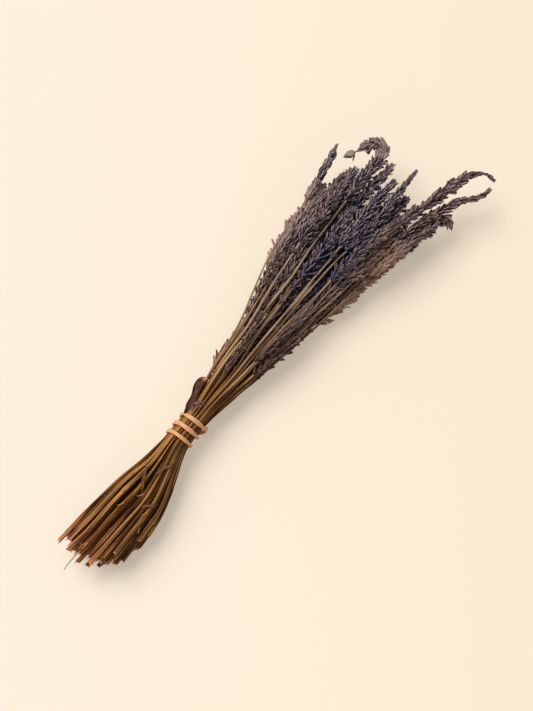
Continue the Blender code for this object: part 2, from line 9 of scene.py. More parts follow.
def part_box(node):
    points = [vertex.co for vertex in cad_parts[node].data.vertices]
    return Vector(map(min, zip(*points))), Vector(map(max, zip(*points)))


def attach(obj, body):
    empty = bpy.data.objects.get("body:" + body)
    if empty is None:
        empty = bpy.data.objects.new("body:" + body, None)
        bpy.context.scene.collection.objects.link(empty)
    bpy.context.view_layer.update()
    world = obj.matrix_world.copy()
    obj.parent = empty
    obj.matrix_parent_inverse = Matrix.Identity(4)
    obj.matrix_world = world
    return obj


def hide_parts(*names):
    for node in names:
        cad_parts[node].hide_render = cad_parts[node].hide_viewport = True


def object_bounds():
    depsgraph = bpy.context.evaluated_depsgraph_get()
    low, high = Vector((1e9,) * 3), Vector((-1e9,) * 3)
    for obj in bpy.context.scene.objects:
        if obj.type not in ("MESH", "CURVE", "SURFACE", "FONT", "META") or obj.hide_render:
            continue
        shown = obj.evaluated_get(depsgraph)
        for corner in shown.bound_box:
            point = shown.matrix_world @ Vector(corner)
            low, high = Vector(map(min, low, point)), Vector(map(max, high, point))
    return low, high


# The looks of a dried lavender bunch: fine stems, flower spikes built up from single cups, the rubber band,
# the leaf and the scraps caught in it. Sizes are in millimetres and are turned into metres by MM.
MM = 0.001
SEED = 11
BOX_MARGIN = 0.02

# How stems bow out below and above the tie: place, reach, how near the middle it starts, and the bow to the
# left and to the right; and how they draw in at the right edge of the flowers
BOWS = ((-129, 28, 8, 3.4, 1.8), (-24, 25, 3, 2.2, 0))
DRAW_ALONG = (98, 34)
DRAW_IN = 2.6
DRAW_FROM = (-10, -20)
# Small moves that bring single sprigs to where they are seen: the middle, the reach and the move
NUDGES = {
    1: (((147, 53, 22), 18, (4.5, -0.2, 0)), ((8, 27, 25), 24, (0, -1.8, 0))),
    2: (((168, 36, 35), 14, (-3.6, -2.8, 0)),),
    8: (((150, -48, 20), 12, (3, 2.6, 0)),),
    14: (((24, 27, 20), 28, (0, -2.2, 0)),),
    20: (((52, 2, 18), 22, (0, -1.6, 0)),),
    31: (((-152, 16, 13), 22, (0, 0.9, 0)),),
    32: (((120, 3, 10), 34, (0, 3.2, 0)),),
    33: (((-152, 14.6, 18), 22, (0, 0.8, 0)),),
}

# What the frame says
SAME_POINT = 0.000002
STEM_CORNERS = 4
SPIKE_CORNERS = 6
RING_GAP = 0.8

# The view: the camera's direction in degrees, its lens, its distance, and where it aims beside the tie
AZIMUTH = -51.85
ELEVATION = 73
LENS = 85
CAMERA_DISTANCE = 1175
AIM_RIGHT = 55.65
AIM_UP = 52.15

# The light: a broad lamp from the upper left, an even fill, and a floor that is never quite dark
KEY_WAY = (0.134, 1.377)
KEY_ELEVATION = 56
KEY_BREADTH = 48
KEY_STRENGTH = 2.75
FILL_STRENGTH = 0.42
FLOOR_GLOW = 0.38
FLOOR_LIGHT = 1.06
FLOOR_SIZE = 60
# Painted shade on the floor: where across the view it turns darker and warmer towards the right
FLOOR_SHADE_FROM = (-0.15, 0.25)
KEY_COLOUR = (1, 0.985, 0.96)
FILL_COLOUR = (0.985, 0.99, 1)

# A stem: corners round it, steps along it, its shape against the frame's and how it thins towards the flowers
STEM_SIDES = 12
STEM_STEPS = 96
STEM_EDGE = 0.97
STEM_GROOVE = 0.8
STEM_THINNING = ((0, 1), (0.42, 0.96), (0.6, 0.87), (1, 0.66))
STEM_WOBBLE = 0.28
WOBBLE_FROM = 12
WOBBLE_WAVES = ((1, 9.1, 33), (2, 12.7, 71))
GIRTH_UNEVEN = 0.07
GIRTH_WAVES = ((6.3, 20), (17, 50))
STEM_TWIST = 0.012
KNOTS = 3
KNOTS_BETWEEN = (0.03, 0.9)
KNOT_SWELL = 0.22
KNOT_HALF_LENGTH = 1.6
RIDGE_ANGLE = 48
# Painted shade on the stems at the right of the bunch: how far aside of the tie it starts and is full, and the
# shares along a stem where it fades out
SHADED_SIDE_FROM = (1, -8)
SHADED_SIDE_SHARE = (0.95, 0.65)
AXIS_SHARE = 0.12
STEM_GIRTHS = (0.88, 1.16)
LOW_STOUTNESS = 0.14
STOUT_BETWEEN = (-100, -125)
WAIST_FILL = 0.3
WAIST_HALF_LENGTH = 20
CUT_SLANT = (12, 46)
CUT_REACH = 8
CUT_BACK = 0.6
CUT_ALIKE = 0.95
TWO_CUTS = 0.45
GUIDE_POINTS = 120
STEMS_FROM = -190
STEMS_RUN = 250
# Torn fibres past a cut end: how far on they stand, where round the stem, how far out, and their width along
SPLINTER_REACH = (0.5, 2.6)
SPLINTER_TURNS = (-0.35, 1.35)
SPLINTER_BOW = (0.6, 1.5)
SPLINTER_SWELL = (0.7, 1, 1, 0.8, 0.15)
# The cut ends at the left are pinker: how far aside that starts and is full
BLUSH_ASIDE = (12, 18)

# A flower cup: its length, and its radius and sideways lean at heights along it
CUP_SIDES = 6
CUP_LENGTH = 5.8
CUP_FOOT = 0.4
CUP_FOOT_HEIGHT = 0.15
CUP_STEPS = ((0.3, 0.76, 0.05), (0.7, 0.98, 0.28), (1, 0.8, 0.26))
CUP_VALLEY = 0.62
CUP_TOOTH = 0.6
CUP_WALL = 0.28
CUP_DEPTH = 0.9
CUP_TIP = (0.25, 1)
CUP_TIP_SHARES = (0.34, 0.26, 1)
SPLIT_SHARES = (1.2, 0.5, 1)
CUP_ANGLE = 50
# In a whorl: the share of cups that are missing, the shares of open, closed and split ones, how their length,
# tilt and size vary, the tilts of the dry scales, and how often there is a papery one
FALLEN_CUPS = 0.06
CUP_ASIDE = 0.3
CUP_ALONG = 1
MOUTH_SHARES = (0.42, 0.38, 0.2)
CUP_LENGTHS = (0.88, 1.12)
CUP_TILTS = (0.7, 1.3)
CUP_SIZES = (0.8, 1.12)
BRACT_TILTS = (26, 46)
PAPERY_WHORLS = 0.1
PAPERY_TILTS = (20, 50)
# Dry scales: width, height, thickness and how papery; where they start, and how they bow, narrow and hollow
BRACTS = {"bract": (1, 2.6, 0.22, 0.25), "paper_bract": (1.1, 3.6, 0.16, 1)}
BRACT_MIDDLE = 0.92
BRACT_BOW = 0.35
BRACT_POINT = 0.55
BRACT_HOLLOW = 0.25

# Straight spikes that the heads are copied from: each length has several, with lone whorls below some
SPIKE_LENGTHS = (46, 56, 64, 72, 80)
SPIKE_KINDS = ("full", "full", "loose")
SHORT_SPIKE = 60
EDGE_LENGTHS = (64, 72)
LOW_LENGTH = 55
LOW_SPIKES = 3
SHORT_SLIMNESS = 0.62
EDGE_SLIMNESS = 0.8
LONE_WHORLS = ((), (-9,), (-8, -21), (-7, -17, -30))
LONE_CUPS = (6, 28)
EDGE_WHORLS = (-6, -13, -20, -28, -36)
SPIKE_LEAD = 40
SPIKE_REACH = 3.4
CORE_RADIUS = 2
CORE_SLICES = 12
# The tip of a spike: the room above its last whorl, how that narrows, and the buds that crown it
TIP_ROOM = 5.2
TIP_TAPER = 0.22
CROWN_BUDS = 6
CROWN_TILTS = (6, 14)
CROWN_ROOM = 5.4
CROWN_SIZE = 0.78
LAST_ROOM = 4.9
LAST_SIZE = 0.72
# For each kind: whorls' spacing at base and tip, cups in a whorl, their tilt at base and tip, size and foot
KINDS = {
    "full": ((4.4, 3.3), 8, (27, 13), 1.04, 1.15),
    "loose": ((5.2, 3.8), 8, (30, 15), 1.1, 1.05),
    "gappy": ((5.6, 4.6), 7, (19, 10), 1.14, 1.05),
    "slender": ((3.6, 3), 6, (10, 6), 0.98, 1.05),
    "lumpy": ((5.4, 4.4), 6, (30, 16), 1.2, 0.95),
}
# The spikes that stand out in the bunch: kind, length, tone and width along them
STANDING_OUT = {
    1: ("slender", 46, 0.75, ((0, 1.65), (0.22, 1.65), (0.42, 1.3), (0.66, 1.7), (0.86, 1.4), (1, 0.7))),
    2: ("full", 80, 0.6, ((0, 1), (0.3, 1.1), (0.62, 1.35), (0.84, 1.35), (0.9, 0.8), (0.925, 0.2),
        (0.965, 0.2), (1, 0.25))),
    5: ("full", 80, 0.4, ((0, 1.1), (0.5, 1.15), (0.72, 0.95), (0.88, 0.68), (1, 0.55))),
    6: ("gappy", 80, 1, ((0, 1), (0.34, 1.1), (0.42, 1.5), (0.49, 1.15), (0.57, 1.5), (0.64, 1.2),
        (0.7, 1.4), (0.78, 0.8), (0.9, 0.5), (1, 0.8))),
    7: ("gappy", 80, 1, ((0, 1), (0.45, 1.2), (0.7, 1.05), (0.82, 0.9), (0.93, 0.95), (1, 1.35))),
    8: ("full", 80, 0.9, ((0, 1.1), (0.6, 1.2), (0.75, 1.5), (0.83, 1.25), (0.92, 1.5), (1, 0.9))),
}
# Papery flakes: the sprig, the share along its spike, size, turn and lean
FLAKES = {
    2: ((0.955, 2.9, 0.9, 8), (0.965, 2.4, -0.7, 40), (0.965, 2.3, 2.3, 52)),
    11: ((0.95, 1.2, 1.4, 20),),
    10: ((0.97, 1.3, 0.2, 25),),
    3: ((0.97, 1.3, 1.5, 20),),
    17: ((0.68, 1.3, 1.6, 55),),
}
# Every other spike: its width along it
SPIKE_SWELL = ((0, 0.78), (0.12, 1), (0.75, 1.04), (1, 0.88))
SPIKE_LUMPS = 0.16
LUMP_WAVES = (1.7, 4.1)
LOCAL_SHARE = 0.3
# Low heads are wider, by how high they lie in the bunch, and short ones are paler
LOW_HEADS_BETWEEN = (0.15, 0.65)
LOW_HEADS_WIDER = (1.46, 1.02)
SHORT_PALER = (62, 52)
# The sprigs at the left edge, where lone whorls sit between the stems
LEFT_EDGE = (12, 50, 35, 33, 45, 11)
# Low sprigs near the bunch's edges, whose spikes stay behind the stems, and some slimmer still
LOW_EDGE = (14, 46, 51, 48, 44, 40)
SLIM_EDGE = (9, 52, 41, 31)
SLIM_EDGE_SLIMNESS = 0.66
# Sprigs in the middle whose lone whorls fill a gap between stems
FILLING = (20, 30)
# The hollow in the middle of the flowers, painted with shade so that they are nearly black there: its middle,
# reach and height; the grain of the painted shade's patches; how much wider the blue of the shade reaches, and
# where along the far end it turns blue
HOLLOW = (95, 3)
HOLLOW_REACH = (44, 16)
HOLLOW_HEIGHTS = (43, 33)
HOLLOW_GRAIN = (24, 80, 80)
COOL_WIDER = 1.9
COOL_FAR = (112, 140)
# Where the flowers turn russet: towards the tie, and at the right edge
RUSSET_ALONG = (70, 5)
RUSSET_ASIDE = (-11, -19)
RUSSET_UP_TO = 125
# Where they are paler: at the left edge, at the right edge and at the far ends
PALE_LEFT = (33, 43)
PALE_LEFT_ENDS = (126, 114)
PALE_RIGHT = (-13, -21)
PALE_FAR = (152, 168)

# The band: its width, thickness, reach along the stems, turns, and its radius round the stems
BAND_WIDTH = 3.1
BAND_THICKNESS = 1.3
BAND_REACH = 9.5
BAND_TURNS = 3
BAND_RETURN_TURNS = 0.5
BAND_STEP_SHARE = 0.75
BAND_STEPS_PER_TURN = 36
BAND_RADIUS = 10.1
BAND_LIFT = 1.7
BAND_UNEVEN = 0.2
BAND_SIDE_PINCH = 0.28
BAND_LIFT_STEEPNESS = 4
BAND_TWISTS = ((2.02, 2.17, 1), (2.7, 2.9, -1))
BAND_PINCH = 0.35
BAND_PINCH_REACH = 0.05
BAND_ANGLE = 60
BAND_SECTION = (
    (1, 0.45), (0.9, 0.95), (0.45, 1.05), (0, 0.55), (-0.45, 1.05), (-0.9, 0.95), (-1, 0.45),
    (-1, -0.45), (-0.9, -0.95), (-0.45, -1.05), (0, -0.7), (0.45, -1.05), (0.9, -0.95), (1, -0.45),
)
WAIST_HEIGHT = 16.5
WAIST_SIDE = 7.51
WAIST_ALONG = -76.91

# The curled leaf and its strands: points in the frame's millimetres, width along the leaf, and how it leans
LEAF_LINE = (
    (-70.5, 12.8, 21.2), (-65.7, 13.9, 22.2), (-63.1, 15.5, 22.8), (-60.2, 16.2, 23.2), (-57.2, 16.8, 23.6),
    (-54, 17.9, 24.2), (-50.3, 19.3, 24.8), (-45.9, 19.9, 25.4), (-43, 19.3, 26), (-41.6, 17.4, 25.8),
)
LEAF_SWELL = (0.8, 0.9, 0.86, 0.72, 0.64, 0.66, 0.76, 0.84, 0.74, 0.3)
LEAF_TURNS = (0.3, 0.15, 0, -0.3, -0.5)
LEAF_TIP_SHARE = 0.88
WARM_REACH = 0.08
STRAND_SWELL = (0.7, 1.1, 1, 0.4)
LEAF_STRANDS = (
    ((-60.8, 13, 25.5), (-58.4, 12.3, 26.1), (-56.8, 10.9, 26.1), (-55.6, 8.2, 25.3)),
    ((-65.6, 10.6, 25.8), (-63.2, 11.1, 26.4), (-60.8, 10.4, 26.8), (-58.9, 9.2, 26.6), (-56.6, 7.4, 25.8)),
    ((-65.9, 13.5, 25), (-61.1, 14.6, 25.4), (-54.8, 16, 25.8), (-48.3, 18.4, 26.2)),
)
WIDE_SECTION = (
    (-2.9, 2.1), (-3.7, 1.5), (-3.9, 0.7), (-3.2, 0.1), (-1.9, -0.2), (-0.6, 0.15), (0.6, 0.25), (1.9, -0.1),
    (3.1, 0.2), (3.6, 0.9), (3.1, 1.5),
)
NARROW_SECTION = ((-1.1, 0.7), (-1, 0.2), (-0.5, 0), (0, 0.15), (0.5, 0), (1.1, 0.3), (1.2, 0.8))
RIBBON_SECTION = ((-0.45, 0.18), (0, 0), (0.45, 0.18))
# Straight blades: slices along them and thickness
WIDE_STEPS = (22, 0.35)
NARROW_STEPS = (14, 0.25)
RIBBON_STEPS = (12, 0.16)
BLADE_POINTS = 40
BLADE_ANGLE = 40
# A scrap of leaf: how far it is raised, its width and turns, and its curled threads
SCRAP_RISE = 0.3
SCRAP_SWELL = (0.35, 1, 0.7, 1.1, 0.4)
SCRAP_TURNS = (0.6, -0.5, 0.4)
SCRAP_THREADS = 6
THREAD_AHEAD = (0.1, 0.5)
THREAD_ASIDE = (1.2, 3.4)
THREAD_RISE = (0.2, 1.3)
THREAD_SWELL = (1, 0.9, 0.3)
# The loose stalk: its sway, the wave of it, and its thickness along it
STALK_SWAY = 0.5
STALK_WAVE = 7
STALK_THICKNESS = ((0, 0.22), (0.06, 0.33), (0.3, 0.45), (1, 0.45))

# Strips of bark that peel off stems: where from the cut end, length, radius of the curl, lean to the side
PEEL_SWELL = (1.1, 1, 0.9, 0.4)
PEELS = {
    15: ((7, 7, 3.2, 0.5), (46, 8, 7, 0.4)),
    4: ((3, 10, 3.6, -0.6),),
    2: ((60, 8, 7, -0.4),),
    5: ((48, 7, 6, 0.6),),
    16: ((38, 8, 7, 0.3),),
    6: ((30, 7, 6, -0.7), (52, 7, 5, 0.3)),
    10: ((66, 7, 8, -0.2),),
    17: ((20, 7, 5.5, -0.3), (56, 6, 4, 0.8)),
    39: ((5, 6, 5, 0.9),),
}

# How far noise moves with a piece's tone, along each axis
GRAIN_MOVES = (37, 91, 13)

# Colours, as linear red, green and blue
SHADE_BROWN = (0.021, 0.0045, 0.0012)
RUSSET = (0.165, 0.044, 0.012)
OLIVE_GOLD = (0.39, 0.155, 0.024)
STRAW_GOLD = (0.62, 0.32, 0.095)
OLD_BROWN = (0.06, 0.03, 0.014)
TAN_BROWN = (0.275, 0.135, 0.066)
TAN = (0.5, 0.3, 0.16)
PALE_TAN = (0.6, 0.415, 0.265)
END_RED = (0.33, 0.092, 0.034)
# The colour of the painted shade on stems at the right of the bunch, away from the lamp
SHADED_SIDE_RED = (0.06, 0.016, 0.006)
CUT_PINK = (0.74, 0.33, 0.2)
BARK_PINK = (0.62, 0.25, 0.115)
PITH = (0.66, 0.36, 0.19)
# Painted shade for the flower cups: a navy and a dusky brown
NAVY = (0.0105, 0.0175, 0.05)
DUSK = (0.026, 0.016, 0.018)
# The navy of the painted shade in the hollow
HOLLOW_SHADE_NAVY = (0.003, 0.0145, 0.047)
VIOLET_GREY = (0.085, 0.06, 0.08)
ROSE_GREY = (0.215, 0.122, 0.113)
BUD_TAN = (0.32, 0.19, 0.13)
PALE_ROSE = (0.68, 0.5, 0.465)
DUSTY_ROSE = (0.56, 0.4, 0.35)
DUSTY_TAN = (0.52, 0.31, 0.22)
UMBER = (0.15, 0.074, 0.055)
PALE_RUSSET = (0.5, 0.31, 0.24)
# A brown black for dark petals, and for painted shade where the flowers are russet
BROWN_PETAL_AND_SHADE = (0.028, 0.013, 0.011)
PETAL_DARK = (0.03, 0.02, 0.042)
PAPER_GREY = (0.3, 0.265, 0.195)
SCRAP_GOLD = (0.24, 0.118, 0.036)
LEAF_BROWN = (0.05, 0.014, 0.007)
LEAF_PURPLE = (0.105, 0.028, 0.026)
LEAF_SALMON = (0.68, 0.3, 0.17)
STRAND_LILAC = (0.35, 0.25, 0.235)
RUBBER_TAN = (0.69, 0.32, 0.128)
# The band's painted shade on its right side; and a dark for stretch marks and for painted shade in the groove
RUBBER_SHADE_RED = (0.68, 0.2, 0.085)
RUBBER_MARKS_AND_SHADE = (0.4, 0.14, 0.06)
RUBBER_PALE = (0.82, 0.46, 0.215)
# The floor's cream, and the same with painted shade at the right
CREAM_LEFT = (0.95, 0.846, 0.694)
CREAM_SHADED_RIGHT = (0.935, 0.795, 0.632)

draw = np.random.default_rng(SEED)


def ramp(value, ends, top=1.0):
    """From 0 at the first end to the top at the second, whichever of the ends is the larger."""
    return top * np.clip((value - ends[0]) / (ends[1] - ends[0]), 0, 1)


def bell(value, middle, reach):
    """1 at the middle, falling away on both sides of it."""
    return np.exp(-(((value - middle) / reach) ** 2))


def read_off(share, stops):
    """The value at a share, off a list of shares and values."""
    return np.interp(share, *zip(*stops))


def evenly(share, values):
    """The value at a share, off values that are spread evenly from 0 to 1."""
    return np.interp(share, np.linspace(0, 1, len(values)), values)


def object_mode():
    bpy.ops.object.mode_set(mode="OBJECT")


def deselect():
    if bpy.context.mode != "OBJECT":
        object_mode()
    bpy.ops.object.select_all(action="DESELECT")


def make_active(piece):
    deselect()
    piece.select_set(True)
    bpy.context.view_layer.objects.active = piece


def edit_all(piece):
    """Opens a piece in edit mode with all of it selected."""
    make_active(piece)
    bpy.ops.object.mode_set(mode="EDIT")
    bpy.ops.mesh.select_all(action="SELECT")


def settle(piece):
    """Puts a piece's place, turn and size into its mesh."""
    make_active(piece)
    bpy.ops.object.transform_apply(location=True, rotation=True, scale=True)
    return piece


def added(name, size=(1, 1, 1)):
    """The primitive that was added last, named, sized and settled."""
    piece = bpy.context.active_object
    piece.name = name
    piece.scale = size
    return settle(piece)


def lengthen(piece, length):
    """Makes a piece that is one metre long as long as it should be."""
    piece.scale = (length, 1, 1)
    return settle(piece)


def extrude(move):
    bpy.ops.mesh.extrude_region_move(TRANSFORM_OT_translate={"value": move})


def shift(move):
    bpy.ops.transform.translate(value=move)


def stretch(factors, about=(0, 0, 0)):
    bpy.ops.transform.resize(value=factors, center_override=about)


def slice_along(piece, length, count):
    """Cuts a piece across into equal lengths along X."""
    edit_all(piece)
    for k in range(1, count):
        bpy.ops.mesh.select_all(action="SELECT")
        bpy.ops.mesh.bisect(plane_co=(length * k / count, 0, 0), plane_no=(1, 0, 0))
    object_mode()


def smooth(degrees):
    bpy.ops.object.shade_smooth_by_angle(angle=radians(degrees))


def points_of(piece):
    flat = np.zeros(3 * len(piece.data.vertices), np.float32)
    piece.data.vertices.foreach_get("co", flat)
    return flat.reshape(-1, 3).astype(float)


def tested(piece, wanted):
    """For each point, whether its place passes a test."""
    return np.array([bool(wanted(v.co)) for v in piece.data.vertices])


def select_points(piece, wanted):
    """Selects a mesh's points by a test on their place, in edit mode's point mode."""
    object_mode()
    for parts in (piece.data.edges, piece.data.polygons):
        parts.foreach_set("select", [False] * len(parts))
    piece.data.vertices.foreach_set("select", tested(piece, wanted))
    bpy.ops.object.mode_set(mode="EDIT")
    bpy.ops.mesh.select_mode(type="VERT")


def paint(piece, **marks):
    """Stores marks at a piece's points, or on its faces for the cut, for the finishes to read."""
    mesh = piece.data
    for name, values in marks.items():
        domain, parts = ("FACE", mesh.polygons) if name == "cut" else ("POINT", mesh.vertices)
        kind, field, size = "FLOAT", "value", (len(parts),)
        if name == "grain":
            kind, field, size = "FLOAT_VECTOR", "vector", (len(parts), 3)
        layer = mesh.attributes.get(name) or mesh.attributes.new(name, kind, domain)
        filled = np.broadcast_to(np.asarray(values, np.float32), size)
        layer.data.foreach_set(field, np.ascontiguousarray(filled).ravel())


def copy_of(master, name):
    """A copy with a mesh of its own, in the scene."""
    made = master.copy()
    made.data = master.data.copy()
    made.name = name
    made.data.name = name
    bpy.context.scene.collection.objects.link(made)
    return made


def join_all(pieces, name):
    make_active(pieces[0])
    for piece in pieces:
        piece.select_set(True)
    bpy.ops.object.join()
    made = bpy.context.view_layer.objects.active
    made.name = name
    made.data.name = name
    return settle(made)


class Path:
    """A smooth line through points, read by the distance along it, in metres."""

    def __init__(self, points, steps=8):
        points = np.asarray(points, float)
        padded = np.vstack([2 * points[0] - points[1], points, 2 * points[-1] - points[-2]])
        share = np.linspace(0, 1, steps, endpoint=False)[:, None]
        runs = []
        for k in range(1, len(padded) - 2):
            before, start, end, after = padded[k - 1 : k + 3]
            leave, arrive = 0.5 * (end - before), 0.5 * (after - start)
            bend = 2 * (start - end) + leave + arrive
            lean = 3 * (end - start) - 2 * leave - arrive
            runs.append(start + share * (leave + share * (lean + share * bend)))
        self.points = np.vstack(runs + [points[-1:]])
        gaps = np.linalg.norm(np.diff(self.points, axis=0), axis=1)
        self.reach = np.concatenate([[0.0], np.cumsum(gaps)])
        self.knots = self.reach[::steps]
        self.length = float(self.reach[-1])

    def at(self, distances):
        return np.stack([np.interp(distances, self.reach, self.points[:, k]) for k in range(3)], axis=1)


def sprig_rings(node):
    """A packed sprig's rings of corners, from its cut end to its tip."""
    built = bmesh.new()
    built.from_mesh(node.data)
    bmesh.ops.remove_doubles(built, verts=built.verts, dist=SAME_POINT)
    built.verts.index_update()
    front = sorted(built.verts, key=lambda v: v.co.x)[:STEM_CORNERS]
    seen = set(front)
    rings = []
    while front:
        rings.append(np.array([v.co for v in front], float))
        beyond = {edge.other_vert(v) for v in front for edge in v.link_edges} - seen
        front = sorted(beyond, key=lambda v: v.index)
        seen |= beyond
    built.free()
    return rings


def eased(number, points):
    """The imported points, bowed out beside the tie, drawn in at the flowers' right edge, and nudged."""
    x, y, _ = points.T / MM
    moved = points / MM
    for at, reach, start, left, right in BOWS:
        aside = np.tanh((y - WAIST_SIDE) / start)
        moved[:, 1] += np.where(aside > 0, left, right) * aside * bell(x, at, reach)
    moved[:, 1] += ramp(y, DRAW_FROM, DRAW_IN) * bell(x, *DRAW_ALONG)
    for middle, reach, move in NUDGES.get(number, ()):
        away = np.linalg.norm(points / MM - middle, axis=1)
        moved += np.outer(bell(away, 0, reach), move)
    return moved * MM


class Sprig:
    """What a packed sprig says of its shape: its centreline, its neck, its radii and its spike's height."""

    def __init__(self, number):
        self.name = f"sprig_{number:02d}"
        rings = sprig_rings(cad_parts[self.name])
        middles = np.array([ring.mean(axis=0) for ring in rings])
        widths = np.array([np.linalg.norm(ring - m, axis=1).max() for ring, m in zip(rings, middles)])
        corners = np.array([len(ring) for ring in rings])
        stem = np.nonzero(corners == STEM_CORNERS)[0]
        spike = np.nonzero(corners == SPIKE_CORNERS)[0]
        buds = spike[1::2]
        self.path = Path(eased(number, middles))
        reaches = self.path.knots
        self.neck = float(reaches[stem[-1]])
        self.spike = self.path.length - self.neck
        self.stem_reach, self.stem_radius = reaches[stem], widths[stem]
        self.bud_reach, self.bud_radius = reaches[buds], widths[buds]
        self.height = middles[spike].mean(axis=0)[2]


def guide_line(name, points, radii, tilts, closed=False):
    """A curve through points in metres, with a width and a turn at each."""
    curve = bpy.data.curves.new(name, "CURVE")
    curve.dimensions = "3D"
    curve.twist_mode = "Z_UP"
    spline = curve.splines.new("POLY")
    spline.points.add(len(points) - 1)
    for place, point, radius, tilt in zip(spline.points, points, radii, tilts):
        place.co = (*point, 1)
        place.radius = radius
        place.tilt = tilt
    spline.use_cyclic_u = closed
    guide = bpy.data.objects.new(name, curve)
    bpy.context.scene.collection.objects.link(guide)
    return guide


def bend_along(piece, points, radii, tilts=None):
    """Bends a piece that lies along +X onto a line, made wider or narrower and turned as the lists say."""
    guide = guide_line("bend_guide", points, radii, np.zeros(len(points)) if tilts is None else tilts)
    bend = piece.modifiers.new("bend", "CURVE")
    bend.object = guide
    bend.deform_axis = "POS_X"
    make_active(piece)
    bpy.ops.object.modifier_apply(modifier=bend.name)
    bpy.data.curves.remove(guide.data)


def straight_stem():
    """A straight stem along +X, one metre long and one millimetre in radius: square, with grooved sides."""
    step = 1.0 / STEM_STEPS
    bpy.ops.mesh.primitive_cylinder_add(
        vertices=STEM_SIDES, radius=MM, depth=step, end_fill_type="NGON",
        location=(0.5 * step, 0, 0), rotation=(0, pi / 2, 0),
    )
    stem = added("straight_stem")

    def in_groove(co):
        return abs(remainder(atan2(co.z, co.y), pi / 2)) < 0.1

    select_points(stem, in_groove)
    stretch((1, STEM_GROOVE, STEM_GROOVE))
    select_points(stem, lambda co: co.x > 0.5 * step)
    for _ in range(STEM_STEPS - 1):
        extrude((step, 0, 0))
    object_mode()
    paint(stem, rib=~tested(stem, in_groove))
    return stem


def flower_cup(name, mouth):
    """A flower cup that stands on the origin: ribbed, a little bent, open, split, or closed to a bud."""
    full = CUP_LENGTH * MM
    top = CUP_FOOT_HEIGHT * MM
    bpy.ops.mesh.primitive_cylinder_add(
        vertices=CUP_SIDES, radius=CUP_FOOT * MM, depth=top, end_fill_type="NGON", location=(0, 0, 0.5 * top),
    )
    cup = added(name)
    width = CUP_FOOT
    lean = 0.0
    select_points(cup, lambda co: co.z > 0.5 * top)
    for share, radius, sideways in CUP_STEPS:
        extrude((sideways * MM - lean, 0, share * full - top))
        top = share * full
        lean = sideways * MM
        stretch((radius / width, radius / width, 1), (lean, 0, top))
        width = radius
    if mouth == "closed":
        tip = (CUP_TIP[0] * MM, 0, CUP_TIP[1] * MM)
        extrude(tip)
        stretch(CUP_TIP_SHARES, (lean + tip[0], 0, top + tip[2]))
    else:
        bpy.ops.mesh.inset(thickness=CUP_WALL * MM, depth=-CUP_DEPTH * MM)
    if mouth == "split":
        stretch(SPLIT_SHARES, (lean, 0, top))
    places = [0, *(step[0] for step in CUP_STEPS)]
    leans = [0, *(step[2] for step in CUP_STEPS)]
    turn = 2 * pi / CUP_SIDES

    def in_valley(co):
        bent = np.interp(co.z / full, places, leans)
        return round(atan2(co.y, co.x - bent * MM) / turn) % 2 == 0

    object_mode()
    up = points_of(cup)[:, 2] / full
    petals = (up > 1 + 0.2 / CUP_LENGTH) | ((up > 0.75) & (up < 0.95))
    paint(cup, height=np.clip(up, 0, 1), rib=~tested(cup, in_valley), petal=petals, paper=0.0, tone=0.5,
          grain=points_of(cup) / MM)
    select_points(cup, lambda co: in_valley(co) and 0.2 * full < co.z < top + 0.01 * MM)
    stretch((CUP_VALLEY, CUP_VALLEY, 1), (0.5 * lean, 0, 0))
    if mouth != "closed":
        select_points(cup, lambda co: not in_valley(co) and abs(co.z - top) < 0.05 * MM)
        shift((0, 0, CUP_TOOTH * MM))
    object_mode()
    smooth(CUP_ANGLE)
    return cup


def bract(name, width, height, thickness, paper):
    """A small dry scale, flat and pointed and a little hollow, that stands on the origin."""
    middle = (0, 0, BRACT_MIDDLE * MM)
    bpy.ops.mesh.primitive_uv_sphere_add(segments=6, ring_count=4, radius=MM, location=middle)
    scale_leaf = added(name, (thickness, width, 1))
    select_points(scale_leaf, lambda co: True)
    stretch((1, 1, 0.5 * height))
    select_points(scale_leaf, lambda co: co.z > 0.5 * height * MM)
    shift((BRACT_BOW * MM, 0, 0.1 * MM))
    stretch((1, BRACT_POINT, 1))
    select_points(scale_leaf, lambda co: abs(co.y) > 0.4 * width * MM)
    shift((BRACT_HOLLOW * MM, 0, 0))
    object_mode()
    points = points_of(scale_leaf) / MM
    up = np.clip(points[:, 2] / height, 0, 1)
    paint(scale_leaf, height=0.45 + 0.5 * up, rib=0.7, petal=0.0, paper=paper, tone=0.8, grain=points)
    smooth(CUP_ANGLE)
    return scale_leaf


def place_round(master, along, root, turn, tilt, size, tone):
    """A copy that leans out from the +X axis: its foot beside the axis, its top forward and outward."""
    made = copy_of(master, "cup")
    lean = Matrix.Rotation(pi / 2 - radians(tilt), 4, "Y")
    spin = Matrix.Rotation(turn, 4, "X")
    roll = Matrix.Rotation(draw.uniform(0, 2 * pi), 4, "Z")
    foot = Matrix.Translation((along * MM, 0, root * MM))
    sized = Matrix.Diagonal((size, size, size * draw.uniform(*CUP_LENGTHS), 1))
    made.matrix_world = spin @ foot @ lean @ roll @ sized
    paint(made, tone=tone)
    return made


def spike_core(length):
    """The dark middle of a spike, where the cups' feet meet."""
    bpy.ops.mesh.primitive_cone_add(
        vertices=6, radius1=CORE_RADIUS * MM, radius2=0.4 * CORE_RADIUS * MM, depth=(length - 2) * MM,
        end_fill_type="NGON", location=(0.5 * length * MM, 0, 0), rotation=(0, pi / 2, 0),
    )
    core = added("core")
    slice_along(core, length * MM, CORE_SLICES)
    paint(core, height=0.0, rib=0.0, petal=0.0, paper=0.0, tone=0.3, grain=points_of(core) / MM)
    return core


